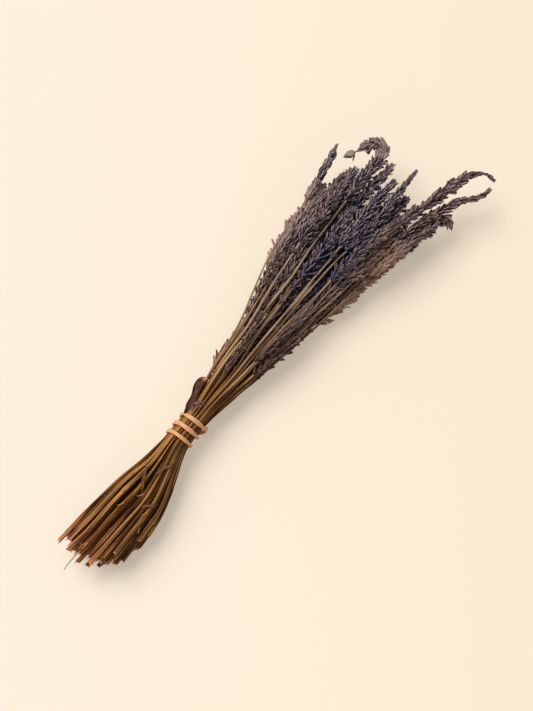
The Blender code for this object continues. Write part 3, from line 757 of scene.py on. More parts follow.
def whorl(along, count, tilt, size, foot, turn):
    """A ring of cups about the axis, with two dry scales under it and now and then a papery one."""
    made = []
    for k in range(count):
        if draw.random() < FALLEN_CUPS:
            continue
        angle = turn + 2 * pi * (k + draw.uniform(-CUP_ASIDE, CUP_ASIDE)) / count
        lean = tilt * draw.uniform(*CUP_TILTS)
        grown = size * draw.uniform(*CUP_SIZES)
        cup = cups[int(draw.choice(3, p=MOUTH_SHARES))]
        place = along + draw.uniform(-CUP_ALONG, CUP_ALONG)
        made.append(place_round(cup, place, foot, angle, lean, grown, draw.random()))
    for k in range(2):
        angle = turn + pi * k + draw.uniform(-0.6, 0.6)
        lean = draw.uniform(*BRACT_TILTS)
        made.append(place_round(scales[0], along - 0.8, foot, angle, lean, size, draw.uniform(0.3, 1.0)))
    if draw.random() < PAPERY_WHORLS:
        lean = draw.uniform(*PAPERY_TILTS)
        angle = draw.uniform(0, 2 * pi)
        papery = place_round(scales[1], along, foot + 0.6, angle, lean, 0.85 * size, draw.random())
        paint(papery, paper=0.25)
        made.append(papery)
    return made


def straight_spike(length, kind, lone=()):
    """A straight flower spike along +X from the lead's end: whorl after whorl, closer towards a blunt tip."""
    spacing, count, tilts, size, foot = KINDS[kind]
    made = [spike_core(length)]
    for along in lone:
        made += whorl(along, *LONE_CUPS, 0.80 * size, 0.5, draw.uniform(0, pi))
    along = 0.6
    turn = draw.uniform(0, pi)
    while along < length - TIP_ROOM:
        share = along / length
        taper = 1.0 - TIP_TAPER * ramp(share, (0.6, 1.0)) ** 1.5
        tilt = tilts[0] + (tilts[1] - tilts[0]) * share**1.5
        made += whorl(along, count, tilt, size * taper, foot * taper, turn)
        along += spacing[0] + (spacing[1] - spacing[0]) * share
        turn += pi / count + draw.uniform(-0.2, 0.2)
    for k in range(CROWN_BUDS):
        angle = turn + 2 * pi * (k + draw.uniform(-0.2, 0.2)) / CROWN_BUDS
        lean = draw.uniform(*CROWN_TILTS)
        place = length - CROWN_ROOM
        made.append(place_round(cups[1], place, 0.6 * foot, angle, lean, CROWN_SIZE * size, draw.random()))
    made.append(place_round(cups[1], length - LAST_ROOM, 0.0, turn, 0.0, LAST_SIZE * size, draw.random()))
    for piece in made:
        piece.matrix_world = Matrix.Translation((SPIKE_LEAD * MM, 0, 0)) @ piece.matrix_world
    return join_all(made, "spike")


def operator(operation, swapped=False):
    """An arithmetic sign for shader values: it adds a Math node and gives its result."""

    def apply(self, other):
        first, second = (other, self) if swapped else (self, other)
        return self.finish.add("ShaderNodeMath", {"operation": operation}, {0: first, 1: second})

    return apply


class Wire:
    """A shader value or colour that comes out of a node, and takes arithmetic."""

    def __init__(self, finish, socket):
        self.finish = finish
        self.socket = socket

    __add__, __radd__ = operator("ADD"), operator("ADD", True)
    __sub__, __rsub__ = operator("SUBTRACT"), operator("SUBTRACT", True)
    __mul__, __rmul__ = operator("MULTIPLY"), operator("MULTIPLY", True)

    def spread(self, low, high):
        """The value, from 0 at low to 1 at high and no further."""
        sockets = {"Value": self, "From Min": low, "From Max": high}
        return self.finish.add("ShaderNodeMapRange", {"clamp": True}, sockets, "Result")

    def under(self, share, colour):
        """The colour with a share of another laid over it."""
        return self.finish.blend(share, self, colour)


class Finish:
    """A material in the making: add() makes any node, and the rest are the ones that the finishes need."""

    def __init__(self, name):
        self.material = bpy.data.materials.new(name)
        self.material.use_nodes = True
        self.tree = self.material.node_tree
        self.shader = self.tree.nodes["Principled BSDF"]

    def add(self, kind, settings, sockets, output=0):
        """Adds a node with its settings, then its sockets' values or links, and gives one output."""
        node = self.tree.nodes.new(kind)
        for key, value in settings.items():
            if key == "stops":
                self.set_stops(node.color_ramp, value)
            else:
                setattr(node, key, value)
        for key, value in sockets.items():
            self.feed(node.inputs[key], value)
        return Wire(self, node.outputs[output])

    def feed(self, socket, value):
        if isinstance(value, Wire):
            self.tree.links.new(value.socket, socket)
        elif hasattr(value, "__len__") and len(value) == 3 and socket.type == "RGBA":
            socket.default_value = (*value, 1)
        else:
            socket.default_value = value

    def set_stops(self, scale, stops):
        while len(scale.elements) < len(stops):
            scale.elements.new(0.5)
        for element, (place, colour) in zip(scale.elements, stops):
            element.position = place
            element.color = (*colour, 1)

    def mark(self, name, output="Fac"):
        """A value that paint() stored on the piece."""
        return self.add("ShaderNodeAttribute", {"attribute_name": name}, {}, output)

    def marks(self, *names):
        return [self.mark(name) for name in names]

    def vector(self, operation, first, second, output="Vector"):
        return self.add("ShaderNodeVectorMath", {"operation": operation}, {0: first, 1: second}, output)

    def place(self):
        return self.add("ShaderNodeTexCoord", {}, {}, "Object")

    def part(self, vector, axis):
        return self.add("ShaderNodeSeparateXYZ", {}, {0: vector}, axis)

    def noise(self, vector, scale, detail=2.0, roughness=0.5):
        sockets = {"Vector": vector, "Scale": scale, "Detail": detail, "Roughness": roughness}
        return self.add("ShaderNodeTexNoise", {}, sockets, "Fac")

    def grain(self, stretched, moved_by, detail=2.0, roughness=0.5):
        """Noise on the stored grain, stretched, and moved by a value so that no two pieces look alike."""
        moves = {axis: moved_by * far for axis, far in enumerate(GRAIN_MOVES)}
        offset = self.add("ShaderNodeCombineXYZ", {}, moves)
        place = self.vector("ADD", self.vector("MULTIPLY", self.mark("grain", "Vector"), stretched), offset)
        return self.noise(place, 1.0, detail, roughness)

    def blend(self, share, first, second):
        settings = {"data_type": "RGBA", "clamp_factor": True}
        return self.add("ShaderNodeMix", settings, {0: share, 6: first, 7: second}, 2)

    def shades(self, share, stops):
        return self.add("ShaderNodeValToRGB", {"stops": stops}, {"Fac": share}, "Color")

    def bump(self, height, strength, distance):
        sockets = {"Height": height, "Strength": strength, "Distance": distance * MM}
        return self.add("ShaderNodeBump", {}, sockets, "Normal")

    def done(self, **values):
        """Feeds the shader's sockets, named with _ for a space, and gives the material."""
        for key, value in values.items():
            self.feed(self.shader.inputs[key.replace("_", " ")], value)
        return self.material


def stem_finish():
    """Dry stems: golden, olive and russet low down, pale tan higher up, streaked, and pink at the cut, with
    painted shade in their grooves and on the stems at the right of the bunch.
    """
    finish = Finish("dried_stem")
    tone, up, blush = finish.marks("tone", "up", "blush")
    streaks = finish.grain((0.022, 0.8, 0.8), tone, 3.0, 0.65)
    patches = finish.grain((0.050, 0.30, 0.30), tone)
    fibres = finish.grain((0.030, 1.5, 1.5), tone, 1.0)
    warmth = (tone * 0.5 + streaks * 1.25 + patches * 0.5).spread(0.76, 1.38)
    low = finish.shades(warmth, ((0, SHADE_BROWN), (0.26, RUSSET), (0.58, OLIVE_GOLD), (1, STRAW_GOLD)))
    high = finish.shades(warmth, ((0, OLD_BROWN), (0.20, TAN_BROWN), (0.50, TAN), (0.85, PALE_TAN)))
    higher = up.spread(0.56, 0.80)
    low_end = up.spread(0.25, 0.15)
    from_cut = finish.part(finish.mark("grain", "Vector"), 0)
    rosy = (from_cut * (1.25 - tone) * (1 - blush * 0.45)).spread(10.0, 1.0) * low_end
    bark = finish.blend(higher, low, high)
    bark = bark.under(from_cut.spread(34.0, 0.0) * low_end * (streaks * 1.1 + patches * 0.5), END_RED)
    bark = bark.under(rosy * (streaks + tone * 0.4 + blush * 0.2).spread(0.64, 1.00), BARK_PINK)
    bark = bark.under((1 - finish.mark("rib")) * 0.70, SHADE_BROWN)
    # Painted shade: stems at the right of the bunch, away from the lamp, darker and redder
    bark = bark.under(finish.mark("side") * 0.85, SHADED_SIDE_RED)
    bark = bark.under(fibres.spread(0.47, 0.36) * 0.85, SHADE_BROWN)
    bark = bark.under(fibres.spread(0.56, 0.66) * 0.6, finish.blend(higher, STRAW_GOLD, PALE_TAN))
    end = finish.blend(fibres.spread(0.35, 0.65), CUT_PINK, PITH)
    return finish.done(
        Base_Color=bark.under(finish.mark("cut"), end),
        Roughness=0.55 + fibres * 0.25,
        Normal=finish.bump(fibres + streaks * 0.6, 0.5, 0.20),
        Specular_IOR_Level=0.12,
    )


def flower_finish():
    """Dry flower cups: grey violet to rose grey and tan, pale along ribs and rims, partly their own colour and
    partly painted highlight, with painted shade in dark clumps, in their valleys, low on each cup and in the
    hollow.
    """
    finish = Finish("dried_flowers")
    tone, head, height, rib, russet, cool = finish.marks("tone", "head", "height", "rib", "russet", "cool")
    fuzz = finish.grain((1.9, 1.9, 0.7), tone, 3.0, 0.6)
    clumps = finish.grain((0.16, 0.16, 0.16), head, 1.0)
    # Painted shade: dusky brown, navy where cool, brown black where russet; below it is laid in dark clumps,
    # in the cups' valleys and low on each cup
    shade = finish.blend(cool, DUSK, NAVY).under(russet, BROWN_PETAL_AND_SHADE)
    warmth = (tone * 0.5 + head * 0.6 + clumps * 0.6 - cool * 0.30).spread(0.40, 1.15)
    colour = finish.blend(warmth, VIOLET_GREY, ROSE_GREY)
    colour = colour.under(russet * 0.9, UMBER)
    colour = colour.under((tone + head * 0.25).spread(0.76, 1.00), BUD_TAN)
    colour = colour.under((tone * 0.5 + clumps).spread(0.78, 0.45) * 0.65, shade)
    # Pale ribs and rims: partly the cups' own colour, partly painted highlight high on each cup and in light
    # clumps
    edge = (rib * 0.7 + height * 0.45 + fuzz * 0.9 + clumps * 0.6).spread(1.40, 1.80)
    colour = colour.under(edge * 0.9, finish.blend(russet, PALE_ROSE, PALE_RUSSET))
    colour = colour.under((1 - rib) * 0.75, shade)
    colour = colour.under(height.spread(0.62, 0.12) * 0.95, shade)
    colour = colour.under(finish.mark("petal") * 0.75, finish.blend(russet, PETAL_DARK, BROWN_PETAL_AND_SHADE))
    colour = colour.under(finish.mark("paper") * (0.55 + fuzz), PAPER_GREY)
    colour = colour.under(finish.mark("pale") * 0.44, finish.blend(russet, DUSTY_ROSE, DUSTY_TAN))
    # Painted shade of the hollow, in patches, where the flowers turn nearly black navy
    gloom = finish.noise(finish.vector("MULTIPLY", finish.place(), HOLLOW_GRAIN), 1.0, 1.0).spread(0.54, 0.46)
    return finish.done(
        Base_Color=colour.under(finish.mark("deep") * (0.62 + gloom * 0.38) + gloom * 0.05, HOLLOW_SHADE_NAVY),
        Roughness=0.70 + fuzz * 0.2,
        Normal=finish.bump(fuzz + rib * 0.5, 0.5, 0.15),
        Specular_IOR_Level=0.12,
        Sheen_Weight=0.05,
    )


def leaf_finish():
    """Dry leaf: brown to purple with paler veins and edges, salmon at the tip, and lilac-grey strands."""
    finish = Finish("dried_leaf")
    tone = finish.mark("tone")
    veins = finish.grain((0.12, 1.8, 1.8), tone, 3.0, 0.6)
    blotches = finish.grain((0.22, 0.45, 0.45), tone)
    darkness = (blotches * 0.8 + veins * 0.6).spread(0.45, 0.95)
    inside = finish.mark("across").spread(0.8, -0.8) * blotches.spread(0.35, 0.60)
    colour = finish.shades(darkness, ((0, SHADE_BROWN), (0.35, LEAF_BROWN), (0.72, LEAF_PURPLE), (1, RUSSET)))
    colour = colour.under(veins.spread(0.60, 0.74) * 0.5, TAN_BROWN)
    colour = colour.under(finish.mark("warm") * blotches.spread(0.30, 0.50), LEAF_SALMON)
    colour = colour.under((finish.mark("straw") + inside) * (veins * 1.7 - 0.15), SCRAP_GOLD)
    return finish.done(
        Base_Color=colour.under(finish.mark("pale") * (0.45 + veins * 0.9), STRAND_LILAC),
        Roughness=0.45 + veins * 0.35,
        Normal=finish.bump(veins + blotches * 0.7, 0.6, 0.30),
        Specular_IOR_Level=0.2,
    )


def rubber_finish():
    """Tan rubber: a soft sheen, mottled paler, with dark stretch marks, and painted shade in its groove and on
    its right side.
    """
    finish = Finish("tan_rubber")
    place = finish.vector("MULTIPLY", finish.place(), (1 / MM, 1 / MM, 1 / MM))
    mottle = finish.noise(place, 0.35, 3.0)
    marks = finish.noise(place, 2.4, 2.0, 0.6)
    colour = finish.blend(mottle.spread(0.35, 0.65), RUBBER_TAN, RUBBER_PALE)
    colour = colour.under(marks.spread(0.52, 0.36) * 0.45, RUBBER_MARKS_AND_SHADE)
    # Painted shade: the band's right side, away from the lamp, turns darker and redder
    colour = colour.under(finish.part(place, 1).spread(0.5, -4.5) * 0.6, RUBBER_SHADE_RED)
    return finish.done(
        # Painted shade in the groove down the band's face
        Base_Color=colour.under(finish.mark("groove") * mottle.spread(0.40, 0.62) * 0.8, RUBBER_MARKS_AND_SHADE),
        Roughness=0.30 + marks * 0.25,
        Normal=finish.bump(marks + mottle, 0.35, 0.15),
    )


def cut_slanted(stem, radius):
    """Cuts a straight stem's near end on a slant, sometimes from two sides, and marks the cut's faces."""
    normals = []
    for _ in range(1 + int(draw.random() < TWO_CUTS)):
        slant = radians(draw.uniform(*CUT_SLANT))
        turn = draw.uniform(0, 2 * pi)
        sideways = sin(slant)
        normal = Vector((-cos(slant), sideways * cos(turn), sideways * sin(turn)))
        edit_all(stem)
        away = CUT_BACK * radius * tan(slant)
        bpy.ops.mesh.bisect(plane_co=(away, 0, 0), plane_no=normal, clear_outer=True, use_fill=True)
        object_mode()
        normals.append(normal)

    def in_cut(face):
        return face.center.x < CUT_REACH * MM and any(face.normal.dot(n) > CUT_ALIKE for n in normals)

    paint(stem, cut=[in_cut(face) for face in stem.data.polygons])


def shape_stem(stem, sprig, tone, side):
    """Sizes a straight stem to its sprig, cuts its end, gives it knots and a slight wobble and bends it."""
    length = sprig.neck + AXIS_SHARE * sprig.spike
    lengthen(stem, length)
    cut_slanted(stem, sprig.stem_radius[0])
    points = points_of(stem)
    reach = np.linspace(0, length, GUIDE_POINTS)
    line = sprig.path.at(reach)
    x = line[:, 0] / MM
    along = np.interp(points[:, 0], reach, x)
    blush = ramp(line[0, 1] / MM, BLUSH_ASIDE)
    # side is the painted shade on the right of the bunch, fading out towards the flowers
    side = side * ramp(points[:, 0] / length, SHADED_SIDE_SHARE)
    paint(stem, tone=tone, side=side, grain=points / MM, blush=blush, up=(along - STEMS_FROM) / STEMS_RUN)
    radii = np.interp(reach, sprig.stem_reach, sprig.stem_radius) / MM * STEM_EDGE
    radii *= read_off(reach / length, STEM_THINNING)
    radii *= draw.uniform(*STEM_GIRTHS) + WAIST_FILL * bell(x, WAIST_ALONG, WAIST_HALF_LENGTH)
    radii *= 1 + ramp(x, STOUT_BETWEEN, LOW_STOUTNESS)
    waves = [np.sin(reach / (wave * MM) + turn * tone) for wave, turn in GIRTH_WAVES]
    radii *= 1 + GIRTH_UNEVEN * waves[0] * waves[1]
    for knot in draw.uniform(*KNOTS_BETWEEN, KNOTS) * sprig.neck:
        radii *= 1 + KNOT_SWELL * bell(reach, knot, KNOT_HALF_LENGTH * MM)
    tilts = 9 * tone + STEM_TWIST * (tone - 0.5) * reach / MM
    sway = STEM_WOBBLE * MM * np.minimum(1, reach / (WOBBLE_FROM * MM))
    for axis, wave, turn in WOBBLE_WAVES:
        line[:, axis] += sway * np.sin(reach / (wave * MM) + turn * tone)
    bend_along(stem, line, radii, tilts)
    smooth(RIDGE_ANGLE)


def paint_place(head):
    """Marks a head's points for painted shade: how far into the hollow they lie and how blue their shade is;
    and how russet and pale the heads are there.
    """
    x, y, z = points_of(head).T / MM
    across = ((x - HOLLOW[0]) / HOLLOW_REACH[0]) ** 2 + ((y - HOLLOW[1]) / HOLLOW_REACH[1]) ** 2
    # Painted shade of the hollow, strongest low in its middle, and where the painted shade is blue rather than
    # brown
    deep = np.exp(-across) * ramp(z, HOLLOW_HEIGHTS)
    cool = np.maximum(np.exp(-across / COOL_WIDER), ramp(x, COOL_FAR, 0.8))
    near = np.where(x < RUSSET_UP_TO, 1.0, 0.6)
    russet = np.maximum(ramp(x, RUSSET_ALONG), ramp(y, RUSSET_ASIDE, 0.8) * near)
    left = ramp(y, PALE_LEFT) * ramp(x, PALE_LEFT_ENDS)
    right = ramp(y, PALE_RIGHT) * (x < RUSSET_UP_TO)
    far = ramp(x, PALE_FAR, 0.75) * (y > 0)
    paint(head, deep=deep, cool=cool, russet=russet, pale=np.maximum(np.maximum(left, right), far))


def shape_head(head, sprig, master_length, swell, head_tone):
    """Turns a straight spike on its axis, stretches it to its sprig's spike, and bends and swells it."""
    ratio = sprig.spike / (master_length * MM)
    turned = Matrix.Rotation(draw.uniform(0, 2 * pi), 4, "X")
    head.matrix_world = turned @ Matrix.Diagonal((ratio, 1, 1, 1))
    settle(head)
    reach = np.linspace(sprig.neck - SPIKE_LEAD * MM * ratio, sprig.path.length, GUIDE_POINTS)
    local = np.interp(reach, sprig.bud_reach, sprig.bud_radius)
    widths = LOCAL_SHARE * local + (1 - LOCAL_SHARE) * sprig.bud_radius.max()
    widths /= SPIKE_REACH * MM
    widths *= read_off((reach - sprig.neck) / sprig.spike, swell)
    phases = draw.uniform(0, 2 * pi, 2)
    lumps = [np.sin(reach / (wave * MM) + phase) for wave, phase in zip(LUMP_WAVES, phases)]
    widths *= 1 + SPIKE_LUMPS * lumps[0] * lumps[1]
    paint(head, head=head_tone)
    bend_along(head, sprig.path.at(reach), widths)


def papery_flakes(sprig, places):
    """Papery flakes that stand on a spike, each turned round it and leaning away."""
    made = []
    for share, size, turn, lean in places:
        reach = sprig.neck + share * sprig.spike
        here, before = sprig.path.at(np.array([reach, reach - 2 * MM]))
        flake = place_round(scales[1], 0.0, 0.3, turn, lean, size, draw.random())
        way = Vector((1, 0, 0)).rotation_difference(Vector(here - before)).to_matrix().to_4x4()
        flake.matrix_world = Matrix.Translation(here) @ way @ flake.matrix_world
        made.append(flake)
    return made


def straight_blade(name, section, steps, thickness):
    """A thin straight blade along +X, one metre long, on a section of sideways and upward places."""
    bpy.ops.mesh.primitive_plane_add(size=1, location=(0.5, 0, 0))
    blade = added(name)
    first, here = section[:2]
    select_points(blade, lambda co: co.y < 0)
    shift((0, first[0] * MM + 0.5, first[1] * MM))
    select_points(blade, lambda co: co.y > 0.4)
    shift((0, here[0] * MM - 0.5, here[1] * MM))
    for there in section[2:]:
        extrude((0, (there[0] - here[0]) * MM, (there[1] - here[1]) * MM))
        here = there
    slice_along(blade, 1.0, steps)
    thicken = blade.modifiers.new("thickness", "SOLIDIFY")
    thicken.thickness = thickness * MM
    thicken.offset = 0
    make_active(blade)
    bpy.ops.object.modifier_apply(modifier=thicken.name)
    return blade


def lay_blade(master, name, line, width, swell, tone, pale=0.0, warm_from=2.0, tilts=(0, 0), straw=0.0):
    """A copy of a straight blade, sized and bent along a line of points in metres."""
    path = Path(line)
    blade = lengthen(copy_of(master, name), path.length)
    points = points_of(blade)
    warm = ramp(points[:, 0] / path.length, (warm_from, warm_from + WARM_REACH))
    paint(blade, tone=tone, pale=pale, straw=straw, warm=warm, across=points[:, 1] / MM, grain=points / MM)
    reach = np.linspace(0, path.length, BLADE_POINTS)
    share = reach / path.length
    bend_along(blade, path.at(reach), width * evenly(share, swell), evenly(share, tilts))
    smooth(BLADE_ANGLE)
    return blade


def splinters(sprig, count):
    """Torn fibres that stand on past a stem's cut end."""
    cut, inside, deeper = sprig.path.at(np.array([0.0, 4.0, 8.0]) * MM)
    out = (cut - inside) / np.linalg.norm(cut - inside)
    across = np.cross(out, (0, 0, 1))
    rise = np.cross(across, out)
    made = []
    for _ in range(count):
        turn = draw.uniform(*SPLINTER_TURNS) * pi
        away = (across * cos(turn) + rise * sin(turn)) * sprig.stem_radius[0]
        beyond = out * draw.uniform(*SPLINTER_REACH) * MM
        tip = cut + beyond + away * draw.uniform(*SPLINTER_BOW)
        line = [deeper + 0.8 * away, inside + 0.9 * away, cut + 0.85 * away, cut + 0.5 * beyond + away, tip]
        tilt = turn - pi / 2
        strip = lay_blade(ribbon, "splinter", line, 1.5, SPLINTER_SWELL, draw.random(), tilts=(tilt, tilt))
        paint(strip, rib=1.0)
        made.append(strip)
    return made


def peel_strip(sprig, start, length, curl, sideways, tone):
    """A strip of bark that has come loose from a stem and curls away from it."""
    foot, ahead = sprig.path.at(np.array([start, start + 1]) * MM)
    way = (ahead - foot) / np.linalg.norm(ahead - foot)
    away = np.array([0, sideways, 1.0]) / hypot(1, sideways)
    lift = 0.85 * np.interp(start * MM, sprig.stem_reach, sprig.stem_radius)
    turns = np.linspace(0, length / curl, 9)[:, None]
    line = foot + away * lift + curl * MM * (away * (1 - np.cos(turns)) - way * np.sin(turns))
    strip = lay_blade(ribbon, "peel", line, 1.0, PEEL_SWELL, tone)
    paint(strip, up=0.50, side=0.0, rib=0.8, cut=0.0)
    return strip


def centreline_of(node):
    """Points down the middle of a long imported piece, in metres, from its low end along X to its high end."""
    points = points_of(node)
    middle = points.mean(axis=0)
    way = np.linalg.svd(points - middle, full_matrices=False)[2][0]
    along = (points - middle) @ (way if way[0] > 0 else -way)
    order = np.argsort(along)
    breaks = np.nonzero(np.diff(along[order]) > RING_GAP * MM)[0] + 1
    return np.array([points[group].mean(axis=0) for group in np.split(order, breaks)])


def curled_leaf():
    """The curled leaf over the left of the stems, just past the band, with the shrivelled strands of it."""
    made = [lay_blade(wide_blade, "leaf", np.array(LEAF_LINE) * MM, 1.0, LEAF_SWELL, 0.35,
                      warm_from=LEAF_TIP_SHARE, tilts=LEAF_TURNS)]
    for k, line in enumerate(LEAF_STRANDS):
        made.append(lay_blade(narrow_blade, "strand", np.array(line) * MM, 0.6, STRAND_SWELL, 0.6 + 0.1 * k,
                              pale=0.8 - 0.35 * k, tilts=(0, 1.2)))
    return join_all(made, "curled_leaf_blade")


def leaf_scrap(name, tone):
    """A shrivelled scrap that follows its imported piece, with curled threads of leaf on both sides."""
    line = centreline_of(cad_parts[name])
    line[:, 2] += SCRAP_RISE * MM
    made = [lay_blade(narrow_blade, "scrap", line, 0.7, SCRAP_SWELL, tone, tilts=SCRAP_TURNS, straw=0.6)]
    way = line[-1] - line[0]
    across = np.array([-way[1], way[0], 0.0]) / np.linalg.norm(way)
    s = np.linspace(0, 1, 5)[:, None]
    for k in range(SCRAP_THREADS):
        root = line[round((k + 0.5) / SCRAP_THREADS * (len(line) - 1))]
        ahead = way * draw.uniform(*THREAD_AHEAD)
        aside = across * draw.uniform(*THREAD_ASIDE) * MM * (1 if k % 2 else -1)
        rise = np.array([0, 0, draw.uniform(*THREAD_RISE)]) * MM
        curl = root + ahead * s + aside * s**1.5 + rise * s * (1.3 - s)
        looks = {"tone": draw.random(), "tilts": (0, 1.5), "straw": 1.0}
        made.append(lay_blade(ribbon, "thread", curl, 0.85, THREAD_SWELL, **looks))
    return join_all(made, f"{name}_blade")


def band_line():
    """The band's closed line about the z axis, up in turns and back outside them, its widths and twists."""
    steps = BAND_TURNS * BAND_STEPS_PER_TURN
    going = BAND_TURNS - BAND_RETURN_TURNS
    turn = BAND_TURNS * np.arange(steps) / steps
    angle = 2 * pi * turn + pi / 2
    climbed = (2 * pi * turn + BAND_STEP_SHARE * (np.sin(angle) - 1)) / (2 * pi * going)
    half_turn = pi * (turn - going) / BAND_RETURN_TURNS
    lift = BAND_LIFT * np.minimum(1, BAND_LIFT_STEEPNESS * np.sin(half_turn) ** 2)
    height = BAND_REACH * np.where(turn < going, 2 * climbed - 1, np.cos(half_turn))
    radius = BAND_RADIUS + np.where(turn < going, 0, lift)
    points = np.stack([radius * np.cos(angle), radius * np.sin(angle), height], axis=1) * MM
    twists = sum(ramp(turn, (start, end), way * pi) for start, end, way in BAND_TWISTS)
    pinch = sum(bell(turn, 0.5 * (start + end), BAND_PINCH_REACH) for start, end, _ in BAND_TWISTS)
    sway = np.sin(7 * angle / 3 + 1) * np.sin(5 * angle / 3)
    aside = np.maximum(0, -np.sin(angle))
    widths = (1 - BAND_PINCH * pinch) * (0.95 + BAND_UNEVEN * sway) * (1 - BAND_SIDE_PINCH * aside**2)
    return points, widths, twists


def rubber_band():
    """The rubber band: a soft-edged strap with a groove down its face, wound on and twisted over once."""
    outline = [(0.5 * BAND_THICKNESS * t * MM, 0.5 * BAND_WIDTH * w * MM, 0) for w, t in BAND_SECTION]
    even = np.ones(len(outline))
    section = guide_line("band_section", outline, even, 0 * even, closed=True)
    band = guide_line("rubber_band_strap", *band_line(), closed=True)
    band.data.bevel_mode = "OBJECT"
    band.data.bevel_object = section
    make_active(band)
    bpy.ops.object.convert(target="MESH")
    band = bpy.context.active_object
    bpy.data.objects.remove(section)
    count = len(BAND_SECTION)
    # The groove is marked for the painted shade in it
    paint(band, groove=[BAND_SECTION[k % count][0] == 0 for k in range(len(band.data.vertices))])
    place = Matrix.Translation((WAIST_ALONG * MM, WAIST_SIDE * MM, WAIST_HEIGHT * MM))
    band.matrix_world = place @ Matrix.Rotation(pi / 2, 4, "Y")
    edit_all(settle(band))
    bpy.ops.mesh.normals_make_consistent(inside=False)
    object_mode()
    smooth(BAND_ANGLE)
    return band


def loose_stalk():
    """The thin loose stalk that sticks out past the cut ends."""
    path = Path(centreline_of(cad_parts["loose_stalk"]))
    stalk = lengthen(copy_of(stem_master, "loose_stalk_stem"), path.length)
    # The loose stalk gets a little of the painted shade of the right side
    paint(stalk, tone=0.42, up=0.85, side=0.25, cut=0.0, grain=points_of(stalk) / MM)
    reach = np.linspace(0, path.length, GUIDE_POINTS)
    share = reach / path.length
    line = path.at(reach)
    line[:, 1] += STALK_SWAY * MM * np.sin(reach / (STALK_WAVE * MM)) * ramp(share, (0.5, 0))
    bend_along(stalk, line, read_off(share, STALK_THICKNESS))
    smooth(RIDGE_ANGLE)
    return stalk


def hold(piece, node, slot):
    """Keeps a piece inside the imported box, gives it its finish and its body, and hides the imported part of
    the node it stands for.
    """
    margin = BOX_MARGIN * MM
    points = np.clip(points_of(piece), np.array(cad_low) + margin, np.array(cad_high) - margin)
    piece.data.vertices.foreach_set("co", points.astype(np.float32).ravel())
    piece.data.update()
    piece.data.materials.clear()
    piece.data.materials.append(finishes[slot])
    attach(piece, "root")
    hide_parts(node)


def nearest(lengths, wanted):
    return min(lengths, key=lambda option: abs(option - wanted))


def spikes_for(number, wanted):
    """Which straight spikes a sprig's head is copied from: their kind and their length."""
    if number in STANDING_OUT:
        return STANDING_OUT[number][:2]
    if number in LEFT_EDGE or number in FILLING:
        return "edge", nearest(EDGE_LENGTHS, wanted)
    if wanted < SHORT_SPIKE:
        return "low", LOW_LENGTH
    return "any", nearest(SPIKE_LENGTHS, wanted)


def head_width(number, wanted, height):
    """How wide a sprig's head is against its packed spike."""
    if number in STANDING_OUT:
        return 1.0
    if wanted < SHORT_SPIKE and height > 0.5:
        return SHORT_SLIMNESS
    width = float(np.interp(height, LOW_HEADS_BETWEEN, LOW_HEADS_WIDER))
    if number in LEFT_EDGE or number in LOW_EDGE:
        return width * EDGE_SLIMNESS
    return width * SLIM_EDGE_SLIMNESS if number in SLIM_EDGE else width


def dress_sprig(number):
    """A sprig's stem, with its splinters and peeling bark, and its flower spike, with its flakes."""
    sprig = Sprig(number)
    name = sprig.name
    aside = sprig.path.at(np.array([0.6 * sprig.neck]))[0][1] / MM - WAIST_SIDE
    stem = copy_of(stem_master, f"{name}_stem")
    # The last value is the share of painted shade for a stem at the right of the bunch
    shape_stem(stem, sprig, draw.random(), ramp(aside, SHADED_SIDE_FROM))
    strips = splinters(sprig, int(draw.integers(0, 2)))
    for peel in PEELS.get(number, ()):
        strips.append(peel_strip(sprig, *peel, draw.random()))
    hold(join_all([stem, *strips], f"{name}_stem"), name, "dried_stem")
    wanted = sprig.spike / MM
    kind, length = spikes_for(number, wanted)
    choices = spikes[kind, length]
    head = copy_of(choices[int(draw.integers(len(choices)))], f"{name}_flowers")
    own_tone = min(1.0, draw.uniform(0.0, 0.8) + ramp(wanted, SHORT_PALER, 0.35))
    swell = SPIKE_SWELL
    if number in STANDING_OUT:
        own_tone, swell = STANDING_OUT[number][2:]
    width = head_width(number, wanted, sprig.height / cad_high[2])
    shape_head(head, sprig, length, [(at, width * wide) for at, wide in swell], own_tone)
    paint_place(head)
    if number in FLAKES:
        head = join_all([head, *papery_flakes(sprig, FLAKES[number])], f"{name}_flowers")
    hold(head, name, "dried_flowers")


def view_axes():
    """The camera's right, up and back directions."""
    a = radians(AZIMUTH)
    e = radians(ELEVATION)
    back = Vector((sin(a) * cos(e), -cos(a) * cos(e), sin(e)))
    right = Vector((cos(a), sin(a), 0))
    return right, back.cross(right), back


def add_camera(tie):
    right, up, back = view_axes()
    aim = tie + right * AIM_RIGHT * MM + up * AIM_UP * MM
    bpy.ops.object.camera_add(location=aim + back * CAMERA_DISTANCE * MM)
    camera = bpy.context.active_object
    camera.rotation_mode = "QUATERNION"
    camera.rotation_quaternion = (-back).to_track_quat("-Z", "Y")
    camera.data.lens = LENS
    camera.data.clip_end = 20
    camera.data.dof.use_dof = False
    bpy.context.scene.camera = camera


def floor_finish():
    """A cream floor with painted shade that makes it a touch darker and warmer to the right, and a faint glow
    so that shadows on it stay pale.
    """
    finish = Finish("studio_floor")
    # Painted shade: the floor darker and warmer towards the right
    share = finish.vector("DOT_PRODUCT", finish.place(), tuple(view_axes()[0]), "Value").spread(*FLOOR_SHADE_FROM)
    lit = (1 - FLOOR_GLOW) / FLOOR_LIGHT
    return finish.done(
        Base_Color=finish.blend(share, [c * lit for c in CREAM_LEFT], [c * lit for c in CREAM_SHADED_RIGHT]),
        Emission_Color=finish.blend(share, CREAM_LEFT, CREAM_SHADED_RIGHT),
        Emission_Strength=FLOOR_GLOW,
        Roughness=0.95,
        Specular_IOR_Level=0.0,
    )


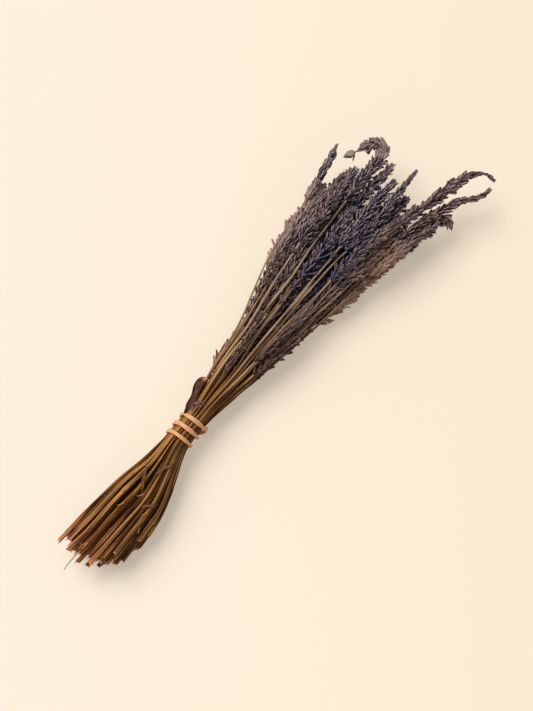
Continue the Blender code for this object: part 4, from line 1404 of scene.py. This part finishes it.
def add_studio():
    """The floor, a broad soft lamp from the upper left, and an even fill."""
    bpy.ops.mesh.primitive_plane_add(size=FLOOR_SIZE, location=(0, 0, 0))
    floor = bpy.context.active_object
    floor.name = "studio_floor"
    floor.data.materials.append(floor_finish())
    rise = radians(KEY_ELEVATION)
    towards = Vector((*KEY_WAY, 0)).normalized() * cos(rise) + Vector((0, 0, sin(rise)))
    bpy.ops.object.light_add(type="SUN", location=towards * 2)
    key = bpy.context.active_object
    key.name = "key_light"
    key.rotation_euler = (-towards).to_track_quat("-Z", "Y").to_euler()
    key.data.energy = KEY_STRENGTH
    key.data.angle = radians(KEY_BREADTH)
    key.data.color = KEY_COLOUR
    world = bpy.data.worlds.new("studio_fill")
    bpy.context.scene.world = world
    world.use_nodes = True
    fill = world.node_tree.nodes["Background"].inputs
    fill["Color"].default_value = (*FILL_COLOUR, 1)
    fill["Strength"].default_value = FILL_STRENGTH
    bpy.context.scene.view_settings.view_transform = "Standard"


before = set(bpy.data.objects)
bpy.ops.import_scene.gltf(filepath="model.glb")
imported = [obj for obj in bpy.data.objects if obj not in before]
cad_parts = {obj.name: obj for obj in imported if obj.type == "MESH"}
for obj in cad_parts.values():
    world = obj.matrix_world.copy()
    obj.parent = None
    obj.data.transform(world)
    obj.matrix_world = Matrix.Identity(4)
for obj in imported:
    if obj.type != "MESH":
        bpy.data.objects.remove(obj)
cad_low, cad_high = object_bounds()
band_low, band_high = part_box("rubber_band")
deselect()

finishes = {
    "dried_stem": stem_finish(),
    "dried_flowers": flower_finish(),
    "dried_leaf": leaf_finish(),
    "tan_rubber": rubber_finish(),
}
stem_master = straight_stem()
cups = [flower_cup(f"cup_{mouth}", mouth) for mouth in ("open", "closed", "split")]
scales = [bract(name, *sizes) for name, sizes in BRACTS.items()]
wide_blade = straight_blade("wide_blade", WIDE_SECTION, *WIDE_STEPS)
narrow_blade = straight_blade("narrow_blade", NARROW_SECTION, *NARROW_STEPS)
ribbon = straight_blade("ribbon", RIBBON_SECTION, *RIBBON_STEPS)

spikes = {}
for length in SPIKE_LENGTHS:
    group = spikes.setdefault(("any", length), [])
    for k, kind in enumerate(SPIKE_KINDS):
        lone = LONE_WHORLS[(k + length) % len(LONE_WHORLS)] if length > SHORT_SPIKE else ()
        group.append(straight_spike(length, kind, lone))
for kind, length in sorted(set(entry[:2] for entry in STANDING_OUT.values())):
    spikes[kind, length] = [straight_spike(length, kind)]
for length in EDGE_LENGTHS:
    spikes["edge", length] = [straight_spike(length, "full", EDGE_WHORLS)]
spikes["low", LOW_LENGTH] = [straight_spike(LOW_LENGTH, "lumpy") for _ in range(LOW_SPIKES)]

for number in range(1, 1 + sum(node.startswith("sprig_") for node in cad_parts)):
    dress_sprig(number)
hold(rubber_band(), "rubber_band", "tan_rubber")
hold(curled_leaf(), "curled_leaf", "dried_leaf")
for k in range(3):
    name = f"leaf_scrap_{k + 1}"
    hold(leaf_scrap(name, 0.2 + 0.25 * k), name, "dried_leaf")
hold(loose_stalk(), "loose_stalk", "dried_stem")

for master in (stem_master, wide_blade, narrow_blade, ribbon, *cups, *scales, *sum(spikes.values(), [])):
    bpy.data.objects.remove(master)

add_camera(0.5 * (band_low + band_high))
add_studio()
